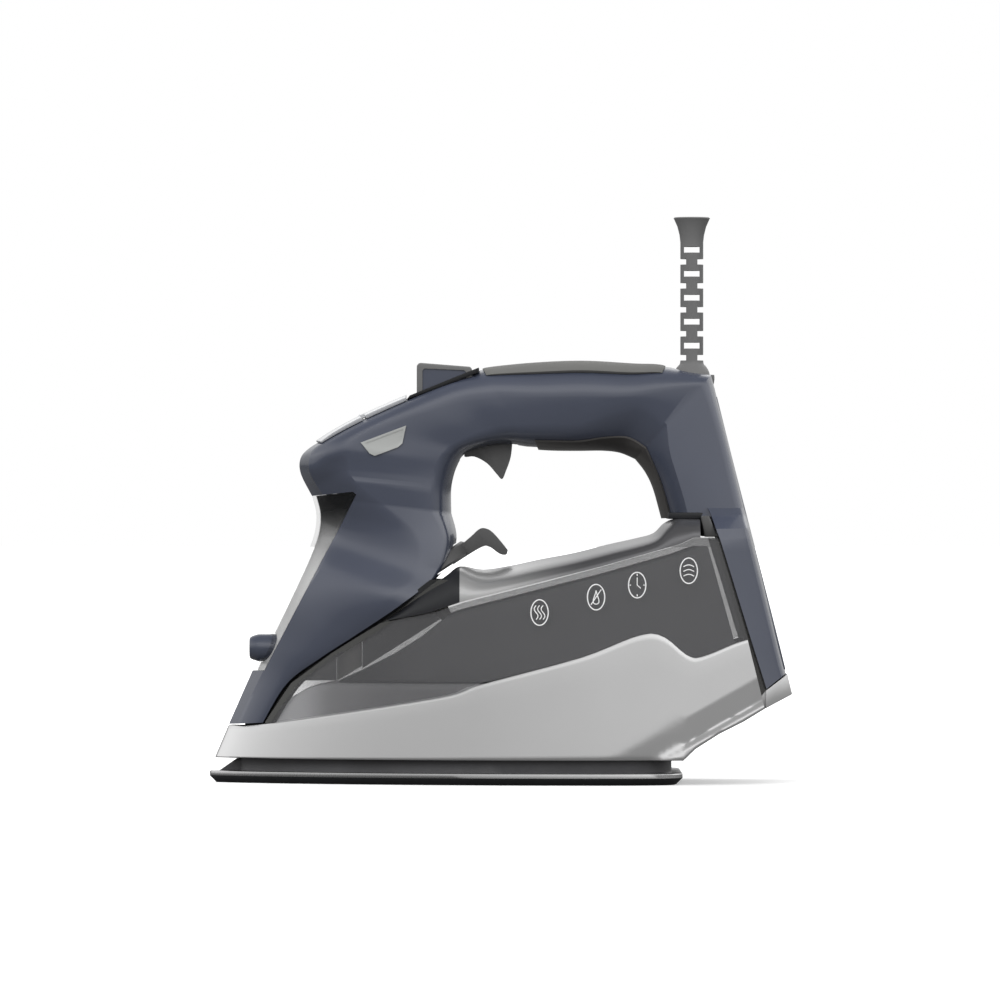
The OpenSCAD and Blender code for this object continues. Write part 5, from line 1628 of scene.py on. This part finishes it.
# ---- deck, buttons, grip, trim and trigger
@dataclass
class HandleTop:
    """Everything that sits on the nose and the handle, in millimetres."""

    lid_half: float = 9.0
    knuckle_r: float = 1.1
    gap: float = 0.3
    deck_rows: Pair = (20.6, 28.0)
    deck_reach: float = 33.0
    seat_t: float = 2.0
    button_top: float = 201.0
    button_foot: float = 182.0
    rim: float = 2.7
    grip_steps: int = 48
    plug_r: float = 3.2
    pin_r: float = 1.65
    pin_place: Pair = (-11.0, 166.0)

    def hinge(self) -> tuple[Vector, Vector]:
        """Centre of the lid's hinge and the direction of the deck there.

        Returns:
            The centre and the direction, in millimetres.
        """
        before, after = outer_edge(HINGE_ROW - 1), outer_edge(HINGE_ROW + 1)
        along = (after - before).normalized()
        normal = Vector((-along.z, 0, along.x))
        return outer_edge(HINGE_ROW) + normal * (self.knuckle_r + self.gap + 0.05), along

    def deck_lift(self, row: float) -> float:
        """Height of the deck's top over the shells, thin at both its ends."""
        share = (row - self.deck_rows[0]) / (self.deck_rows[1] - self.deck_rows[0])
        return 0.7 + 1.7 * math.sin(math.pi * min(1.0, max(0.0, share))) ** 0.6

    def deck_skin(self, name: str, first: float, last: float) -> Piece:
        """Deck-like wall over the nose from one row to another.

        Args:
            name: Name of the piece.
            first: First row.
            last: Last row.

        Returns:
            The new object.
        """
        rows = spread(first, last, 24)
        made = wall(name, ARCH.cap(rows, self.deck_reach, self.deck_lift),
                    ARCH.cap(rows, self.deck_reach, lambda row: 0.25))
        return round_edges(made, 0.2, 2, 60)

    def deck(self) -> None:
        """White deck between the lid and the buttons, with the hinge's ears."""
        centre, along = self.hinge()
        skin = self.deck_skin("top_deck_skin", HINGE_ROW + 0.15, self.deck_rows[1])
        cut_away(skin, block("cut_rear", (SEATS.seat_low[0] - self.gap, -FAR, 0), (FAR, FAR, FAR)))
        ears = []
        for y in (-self.lid_half - self.gap - 2.2, self.lid_half + self.gap):
            ears.append(rod("ear", self.knuckle_r, centre + Vector((0, y, 0)), centre + Vector((0, y + 2.2, 0)), 32))
            ears.append(prism("arm", [(0, -0.9), (3, -0.9), (3, 0.8), (0, 0.8)], y, y + 2.2))
            ears[-1].data.transform(shifted(centre)
                                    @ Matrix.Rotation(-math.atan2(along.z, along.x), 4, "Y"))
        made = join_pieces("deck_plate", [skin, *ears])
        place_piece(made, "deck", "top_deck", finish=WHITE_ABS)

    def lid(self) -> None:
        """Filler lid with its knuckle and the plug that closes the neck."""
        centre, along = self.hinge()
        skin = self.deck_skin("lid_skin", 21, HINGE_ROW - 0.05)
        knuckle = rod("knuckle", self.knuckle_r, centre + Vector((0, -self.lid_half, 0)),
                      centre + Vector((0, self.lid_half, 0)), 32)
        base = Vector((SEATS.neck_x, 0, SEATS.neck_top))
        normal = Vector((-along.z, 0, along.x))
        plug = rod("plug", self.plug_r, base + normal * 0.4, base + normal * 4.4, 40)
        made = join_pieces("filler_lid_plate", [skin, knuckle, plug])
        place_piece(made, "lid", "filler_lid", finish=WHITE_ABS, body=Body.LID)

    def seat(self) -> None:
        """Black gasket wedge that frames the buttons."""
        low, high = SEATS.seat_low, SEATS.seat_high
        made = prism("button_gasket", [low, high, (high[0], high[1] + self.seat_t + 0.4),
                                       (low[0] + 1.6, low[1] + self.seat_t)], -SEATS.seat_half, SEATS.seat_half)
        x0, x1 = SEATS.button_x
        for side in Side:
            y0, y1 = self.button_span(side)
            cut_away(made, block("cut", (x0 - self.gap, y0 - self.gap, 150), (x1 + self.gap, y1 + self.gap, 230)))
        round_edges(made, 0.3, 2)
        place_piece(made, "bezel", "button_bezel", finish=BLACK_RUBBER, angle=30)

    def button_span(self, side: Side) -> Pair:
        """Both flanks of a button, the lower y first."""
        pitch, half = side * SEATS.button_pitch, SEATS.button_w / 2
        return pitch - half, pitch + half

    def button(self, side: Side, body: Body, node: str) -> None:
        """Button with a grey rim round a navy panel in its outer flank.

        Args:
            side: The side that it sits on.
            body: The body that it rides on.
            node: The CAD node that it stands for.
        """
        (x0, x1), top, rim = SEATS.button_x, self.button_top, self.rim
        y0, y1 = self.button_span(side)
        outline = [(x0, self.button_foot), (x1, 190), (x1, top - 3.4)]
        outline += [(x1 - 1.6 + 1.6 * math.cos(a), top - 3.4 + 1.6 * math.sin(a)) for a in np.linspace(0.3, 1.57, 5)]
        outline += [(x0 + 2 + 2 * math.cos(a), top - 2 + 2 * math.sin(a)) for a in np.linspace(1.57, 3.14, 6)]
        made = prism(f"{node}_cap", outline, y0, y1)
        round_edges(made, 0.7, 3, 40)
        face_y = y1 if side is Side.RIGHT else y0
        panel = prism("panel", [(x0 + rim, 176), (x1 - rim, 180), (x1 - rim, top - 1.8 - rim),
                                (x1 - rim - 1, top - 0.8 - rim), (x0 + rim + 1, top - rim),
                                (x0 + rim, top - 1 - rim)], *sorted((face_y - side * 0.7, face_y + side * 4)))
        cut_away(made, panel)
        dress(made, GREY_NYLON, NAVY_ABS)
        inner_y = abs(face_y) - 0.7
        paint_faces(made, 1, lambda face: abs(abs(face.center.y) - inner_y * MM) < 0.02 * MM)
        place_piece(made, "button", node, angle=30, body=body)

    def grip_thickness(self, k: int) -> float:
        """Thickness of the grip at its row k, thin at both its ends."""
        return 0.3 + 1.4 * math.sin(math.pi * k / self.grip_steps) ** 0.5

    def grip(self) -> None:
        """Soft grip on the handle's back."""
        rows = spread(30, 38, self.grip_steps)
        outer = [ARCH.saddle([row], 45, -0.15 - self.grip_thickness(k))[0] for k, row in enumerate(rows)]
        inner = ARCH.saddle(rows, 45, -0.15)
        made = wall("grip_pad", outer, inner)
        round_edges(made, 0.25, 2, 50)
        place_piece(made, "grip", "handle_grip", finish=GREY_RUBBER)

    def trim(self) -> None:
        """Metallic trim round the inside of the hand opening."""
        rows = spread(31, 46, 120)
        made = wall("opening_trim", ARCH.saddle(rows, 45, -1.4, 14, True), ARCH.saddle(rows, 45, -0.2, 14, True))
        place_piece(made, "trim", "handle_trim", finish=TRIM_LACQUER, angle=40)

    def trigger(self) -> None:
        """Steam trigger shaped like a shark's fin."""
        outline = smooth_loop([(-17, 156.4), (-12, 156.2), (-6, 153), (-1.4, 147.9), (1.2, 145.4), (3, 149),
                               (5.4, 156), (6.2, 163.5), (6.2, 163.5), (-6, 163.5), (-6, 163.5), (-7, 169.5),
                               (-7, 169.5), (-14.5, 169.5), (-14.5, 169.5), (-15.5, 163)], 4)
        made = prism("trigger_fin", outline, -SEATS.trigger_w / 2, SEATS.trigger_w / 2)
        x, z = self.pin_place
        cut_away(made, rod("pin_hole", self.pin_r, (x, -20, z), (x, 20, z)))
        round_edges(made, 0.8, 3, 50)
        place_piece(made, "trigger", "steam_trigger", finish=LEVER_NYLON, body=Body.TRIGGER)

    def build(self) -> None:
        """Builds every piece on the nose and the handle."""
        self.deck()
        self.lid()
        self.seat()
        self.button(Side.LEFT, Body.SPRAY_BUTTON, "spray_button")
        self.button(Side.RIGHT, Body.STEAM_BUTTON, "steam_button")
        self.grip()
        self.trim()
        self.trigger()


# ---- dial
@dataclass
class HeatDial:
    """Tilted dial disc with a hooked finger tab, in millimetres."""

    tab_w: float = 15.0
    shaft_r: float = 3.1

    def build(self) -> None:
        """Builds the dial."""
        turn = (shifted(SEATS.dial_centre)
                @ Matrix.Rotation(-math.radians(SEATS.dial_tilt), 4, "Y"))
        r, t, hub = SEATS.dial_r, SEATS.dial_t / 2, self.shaft_r
        disc = spun("dial_disc", [(hub, -t), (r - 1, -t), (r, -t + 1), (r, t - 1), (r - 1, t), (hub, t)], 96)
        disc.data.transform(turn)
        outline = smooth_loop([(-24, 109.2), (-14, 117.6), (-10, 121.2), (-7, 121.8), (-3, 119.6), (4, 111.4),
                               (4, 111.4), (3.2, 109.2), (0, 109.6), (-5, 113), (-9, 112.6), (-22, 104.6),
                               (-22, 104.6), (-24, 109.2)], 4)
        tab = round_edges(prism("tab", outline, -self.tab_w / 2, self.tab_w / 2), 0.8, 3, 50)
        made = join_pieces("dial_wheel", [disc, tab])
        place_piece(made, "dial", "temperature_dial", finish=LEVER_NYLON, body=Body.DIAL)


# ---- cord guard
@dataclass
class CordGuard:
    """Slotted guard on a ball, with a flared mouth, in millimetres."""

    ball_r: float = 8.8
    stem_r: float = 5.5
    mouth_r: float = 8.75
    bore_r: float = 3.6
    pitch: float = 11.5
    slots: int = 5
    slot_drop: float = 17.0
    slot_half: float = 3.8
    slot_h: float = 2.9
    notch_drop: float = 22.7
    notch_x: float = 5.6
    notch_half: float = 3.0
    notch_h: float = 2.7

    def build(self) -> None:
        """Builds the guard."""
        centre = SEATS.ball_centre()
        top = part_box("cord_guard")[1].z / MM - centre.z
        dome = [(self.ball_r * math.cos(math.radians(a)), self.ball_r * math.sin(math.radians(a)))
                for a in range(-66, 49, 6)]
        profile = [(self.bore_r + 0.4, -self.ball_r + 0.8), *dome, (self.stem_r + 0.15, 7.0), (self.stem_r, 8.4),
                   (self.stem_r, top - 12), (self.stem_r + 0.4, top - 8.5), (self.stem_r + 1.4, top - 4.5),
                   (self.mouth_r - 0.3, top - 1.0), (self.mouth_r, top - 0.5), (self.mouth_r - 0.5, top),
                   (self.bore_r + 0.5, top), (self.bore_r, top - 0.6), (self.bore_r, top - 13),
                   (self.bore_r + 0.4, top - 13)]
        made = spun("cord_guard_sleeve", profile, 64)
        made.data.transform(shifted(centre))
        x, z = centre.x, centre.z + top
        for k in range(self.slots):
            low = z - self.slot_drop - k * self.pitch
            cut_away(made, block("slot", (x - self.slot_half, -20, low), (x + self.slot_half, 20, low + self.slot_h)))
            for side in Side:
                low = z - self.notch_drop - k * self.pitch
                spot = x + side * self.notch_x
                cut_away(made, block("notch", (spot - self.notch_half, -20, low),
                                     (spot + self.notch_half, 20, low + self.notch_h)))
        place_piece(made, "guard", "cord_guard", finish=GREY_NYLON, body=Body.GUARD)


# ---- printed marks
@dataclass
class PrintedMarks:
    """White pictograms on the tank cover: rings with plain signs for what the iron does."""

    tank: WaterTank
    line: float = 0.55
    ring: Pair = (4.1, 6.05)
    spots: tuple[Pair, ...] = ((19, 82), (45.8, 89.3), (65.3, 95), (89.8, 101.8))

    def stroke(self, path: Sequence[Pair], width: float, side: Side) -> Piece:
        """Raised line of ink along a side-view path on the tank's flank.

        Args:
            path: Points [x, z].
            width: Width, in millimetres.
            side: The flank.

        Returns:
            The new object.
        """
        count = len(path)
        rows = []
        for edge in (-0.5, 0.5):
            row = []
            for k, (x, z) in enumerate(path):
                before, after = path[max(0, k - 1)], path[min(count - 1, k + 1)]
                along = Vector((after[0] - before[0], after[1] - before[1])).normalized()
                row.append((x - along.y * width * edge, z + along.x * width * edge))
            rows.append(row)
        grids = [[[[x, side * (self.tank.side_y(x, z) + lift), z] for x, z in row] for row in rows]
                 for lift in (0.12, -0.05)]
        return wall("ink", *grids)

    def signs(self) -> list[list[list[Pair]]]:
        """Paths inside each ring, in ring units from -1 to 1.

        Returns:
            The paths of each sign.
        """
        wave = [(0.22 * math.sin(math.tau * t), mix(-0.55, 0.55, t)) for t in np.linspace(0, 1, 13)]
        steam = [[(x + shift, z) for x, z in wave] for shift in (-0.4, 0.0, 0.4)]
        drop = [(0.42 * math.sin(math.tau * t) * math.sin(math.pi * t) ** 0.8, 0.6 - 1.15 * math.sin(math.pi * t))
                for t in np.linspace(0.02, 0.98, 21)]
        bar = [(-0.6, -0.6), (0.6, 0.6)]
        hands = [(0.0, 0.6), (0.0, 0.0), (0.42, -0.25)]
        ticks = [[(0.72 * math.cos(a), 0.72 * math.sin(a)), (0.88 * math.cos(a), 0.88 * math.sin(a))]
                 for a in (0, math.pi / 2, math.pi, 3 * math.pi / 2)]
        layers = [[(x, level + 0.14 * math.cos(2.6 * x)) for x in np.linspace(-0.62, 0.62, 11)]
                  for level in (-0.42, -0.05, 0.32)]
        return [steam, [drop, bar], [hands, *ticks], layers]

    def build(self) -> None:
        """Builds the marks on both flanks as one piece of ink."""
        strokes = []
        for side in Side:
            for (cx, cz), sign in zip(self.spots, self.signs()):
                circle = [(cx + self.ring[0] * math.cos(a), cz + self.ring[1] * math.sin(a))
                          for a in np.linspace(0, math.tau, 41)]
                strokes.append(self.stroke(circle, self.line, side))
                for path in sign:
                    placed = [(cx + x * self.ring[0], cz + z * self.ring[1]) for x, z in path]
                    strokes.append(self.stroke(placed, self.line * 0.85, side))
        made = join_pieces("printed_marks", strokes)
        place_piece(made, "tank_cover", finish=WHITE_INK, angle=40)


# ---- inner works
INNER_FINISHES: tuple[tuple[Finish, tuple[str, ...]], ...] = (
    (CAST_ALUMINIUM, ("steam_casting",)),
    (ELEMENT_STEEL, ("heating_element",)),
    (BLACK_RUBBER, ("chamber_gasket",)),
    (ZINC_STEEL, ("chamber_cover", "casting_screws", "rear_cover_screws", "lid_pin", "spray_spring", "steam_spring",
                  "trigger_pin", "trigger_spring", "clamp_screws")),
    (STEATITE, ("thermostat", "thermal_fuse")),
    (ACETAL, ("drip_valve", "filler_neck", "spray_plunger", "steam_plunger", "spray_pump", "steam_pump",
              "dial_shaft", "terminal_block", "cord_clamp")),
    (SILICONE_HOSE, ("spray_hose", "steam_hose")),
    (LEAD_SHEATH, ("power_leads",)),
    (CIRCUIT_BOARD, ("control_board",)),
    (GREY_NYLON, ("swivel_yoke",)),
)


def dress_inner_works() -> None:
    """Gives the CAD nodes that stay as they are their own finishes."""
    for finish, nodes in INNER_FINISHES:
        for node in nodes:
            dress(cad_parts[node], finish)
            log.info("%s: %s", node, finish.name)


# ---- studio
@dataclass
class Studio:
    """Pale floor, soft lamps, a white surround and the camera, in metres."""

    view_width: float = 0.48
    lens: float = 300.0
    sensor: float = 36.0
    aim: tuple[float, float, float] = (0.00024, 0.0, 0.13536)
    floor_bounce: float = 0.14
    mirror_gain: float = 3.0
    mirror_height: tuple[Pair, ...] = ((-1, 0.02), (-0.2, 0.05), (0, 0.26), (0.16, 0.4), (0.42, 0.72), (0.6, 0.6),
                                       (0.8, 0.25), (1, 0.1))
    mirror_length: tuple[Pair, ...] = ((-1, 1.0), (-0.96, 0.8), (-0.84, 0.48), (-0.5, 0.36), (-0.15, 0.54), (0, 0.64),
                                       (0.5, 0.72), (1, 0.9))
    soft_height: tuple[Pair, ...] = ((-1, 0.05), (-0.1, 0.2), (0.2, 0.6), (1, 0.9))
    floor_glow: tuple[Pair, ...] = ((0, 0.3), (0.3, 0.35), (0.9, 1.0), (2, 1.0))
    lamps: tuple[tuple[str, tuple[float, float, float], Pair, float], ...] = (
        ("key_softbox", (-0.9, -1.6, 1.3), (1.0, 1.0), 20), ("fill_softbox", (1.3, -1.5, 0.9), (0.9, 1.2), 10),
        ("top_strip", (0.1, 0.4, 1.8), (1.6, 0.5), 8), ("rear_softbox", (0.6, 1.7, 1.0), (1.0, 1.0), 8))

    def camera(self) -> None:
        """Camera level with the middle of the iron, square to its left side."""
        made = bpy.data.objects.new("camera", bpy.data.cameras.new("camera"))
        made.data.lens = self.lens
        made.data.sensor_width = self.sensor
        made.data.clip_end = 50
        back = self.view_width * self.lens / self.sensor
        made.location = (self.aim[0], -back, self.aim[2])
        made.rotation_euler = (math.radians(90), 0, 0)
        bpy.context.scene.collection.objects.link(made)
        bpy.context.scene.camera = made

    def softboxes(self) -> None:
        """Rectangular lamps that face the iron and don't show in its gloss."""
        for name, spot, size, power in self.lamps:
            light = bpy.data.lights.new(name, "AREA")
            light.shape = "RECTANGLE"
            light.size, light.size_y = size
            light.energy = power
            made = bpy.data.objects.new(name, light)
            made.location = spot
            made.rotation_euler = (Vector((0, 0, 0.1)) - Vector(spot)).to_track_quat("-Z", "Y").to_euler()
            made.visible_glossy = False
            bpy.context.scene.collection.objects.link(made)

    def grey_ramp(self, tree: Tree, value: Socket, low: float, high: float,
                  stops: Sequence[Pair]) -> Socket:
        """Grey levels along a value.

        Args:
            tree: The nodes.
            value: The value that runs from low to high.
            low: Its lowest value.
            high: Its highest value.
            stops: Pairs of the value and its level.

        Returns:
            The level.
        """
        share = add_node(tree, "ShaderNodeMapRange", {"From Min": low, "From Max": high}, {"Value": value})
        ramp = add_node(tree, "ShaderNodeValToRGB", None, {"Fac": share.outputs["Result"]})
        ramp.color_ramp.interpolation = "EASE"
        while len(ramp.color_ramp.elements) < len(stops):
            ramp.color_ramp.elements.new(0.5)
        for element, (at, level) in zip(ramp.color_ramp.elements, stops):
            element.position = (at - low) / (high - low)
            element.color = (level, level, level, 1)
        return ramp.outputs["Color"]

    def blend(self, tree: Tree, share: Socket, first: object,
              second: object) -> Socket:
        """Value that is first where share is 0 and second where it is 1; each is a number or a socket.

        Args:
            tree: The nodes.
            share: The share, from 0 to 1.
            first: Value at 0.
            second: Value at 1.

        Returns:
            The value.
        """
        node = add_node(tree, "ShaderNodeMix", None, {0: share})
        for slot, value in ((2, first), (3, second)):
            if isinstance(value, (int, float)):
                node.inputs[slot].default_value = value
            else:
                tree.links.new(value, node.inputs[slot])
        return node.outputs[0]

    def surround(self) -> None:
        """World that is white behind the iron, with soft bright and dim sides for gloss to mirror."""
        world = bpy.data.worlds.new("surround")
        bpy.context.scene.world = world
        world.use_nodes = True
        tree = world.node_tree
        shade = tree.nodes["Background"]
        shade.inputs["Color"].default_value = linear("#FFFFFF")
        place = add_node(tree, "ShaderNodeTexCoord")
        parts = add_node(tree, "ShaderNodeSeparateXYZ", None, {0: place.outputs["Generated"]})
        height = self.grey_ramp(tree, parts.outputs["Z"], -1, 1, self.mirror_height)
        length = self.grey_ramp(tree, parts.outputs["X"], -1, 1, self.mirror_length)
        mirror = add_node(tree, "ShaderNodeMath", {"operation": "MULTIPLY"}, {0: height, 1: length})
        bright = add_node(tree, "ShaderNodeMath", {"operation": "MULTIPLY", 1: self.mirror_gain},
                          {0: mirror.outputs[0]})
        soft = self.grey_ramp(tree, parts.outputs["Z"], -1, 1, self.soft_height)
        path = add_node(tree, "ShaderNodeLightPath")
        level = self.blend(tree, path.outputs["Is Glossy Ray"], soft, bright.outputs[0])
        through = add_node(tree, "ShaderNodeMath", {"operation": "MAXIMUM"},
                           {0: path.outputs["Is Camera Ray"], 1: path.outputs["Is Transmission Ray"]})
        tree.links.new(self.blend(tree, through.outputs[0], level, 1.0), shade.inputs["Strength"])

    def floor(self) -> None:
        """Pale floor that fades to the white surround, with the iron's shadow on it."""
        start_piece()
        bpy.ops.mesh.primitive_plane_add(size=40)
        made = named(bpy.context.active_object, "floor")
        paint = bpy.data.materials.new("Pale matt studio paint")
        paint.use_nodes = True
        tree = paint.node_tree
        shader = tree.nodes["Principled BSDF"]
        shader.inputs["Roughness"].default_value = 0.9
        shader.inputs["Specular IOR Level"].default_value = 0.0
        shader.inputs["Emission Color"].default_value = linear("#FFFFFF")
        place = add_node(tree, "ShaderNodeTexCoord")
        away = add_node(tree, "ShaderNodeVectorMath", {"operation": "LENGTH"}, {0: place.outputs["Object"]})
        glow = self.grey_ramp(tree, away.outputs["Value"], 0, 2, self.floor_glow)
        path = add_node(tree, "ShaderNodeLightPath")
        seen = path.outputs["Is Camera Ray"]
        tree.links.new(self.blend(tree, seen, 0.0, glow), shader.inputs["Emission Strength"])
        grey = self.blend(tree, seen, self.floor_bounce, 0.8)
        colour = add_node(tree, "ShaderNodeCombineColor", None, {0: grey, 1: grey, 2: grey})
        tree.links.new(colour.outputs[0], shader.inputs["Base Color"])
        made.data.materials.append(paint)

    def build(self) -> None:
        """Sets the studio up."""
        bpy.context.scene.view_settings.view_transform = "Standard"
        self.camera()
        self.surround()
        self.floor()
        self.softboxes()


def main() -> None:
    """Builds the iron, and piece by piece."""
    logging.basicConfig(level=logging.INFO, format="%(name)s: %(message)s")
    Studio().build()
    Undercarriage().build()
    tank = WaterTank()
    tank.build()
    BodyShells().build()
    HandleTop().build()
    HeatDial().build()
    CordGuard().build()
    PrintedMarks(tank).build()
    dress_inner_works()


if __name__ == "__main__":
    main()
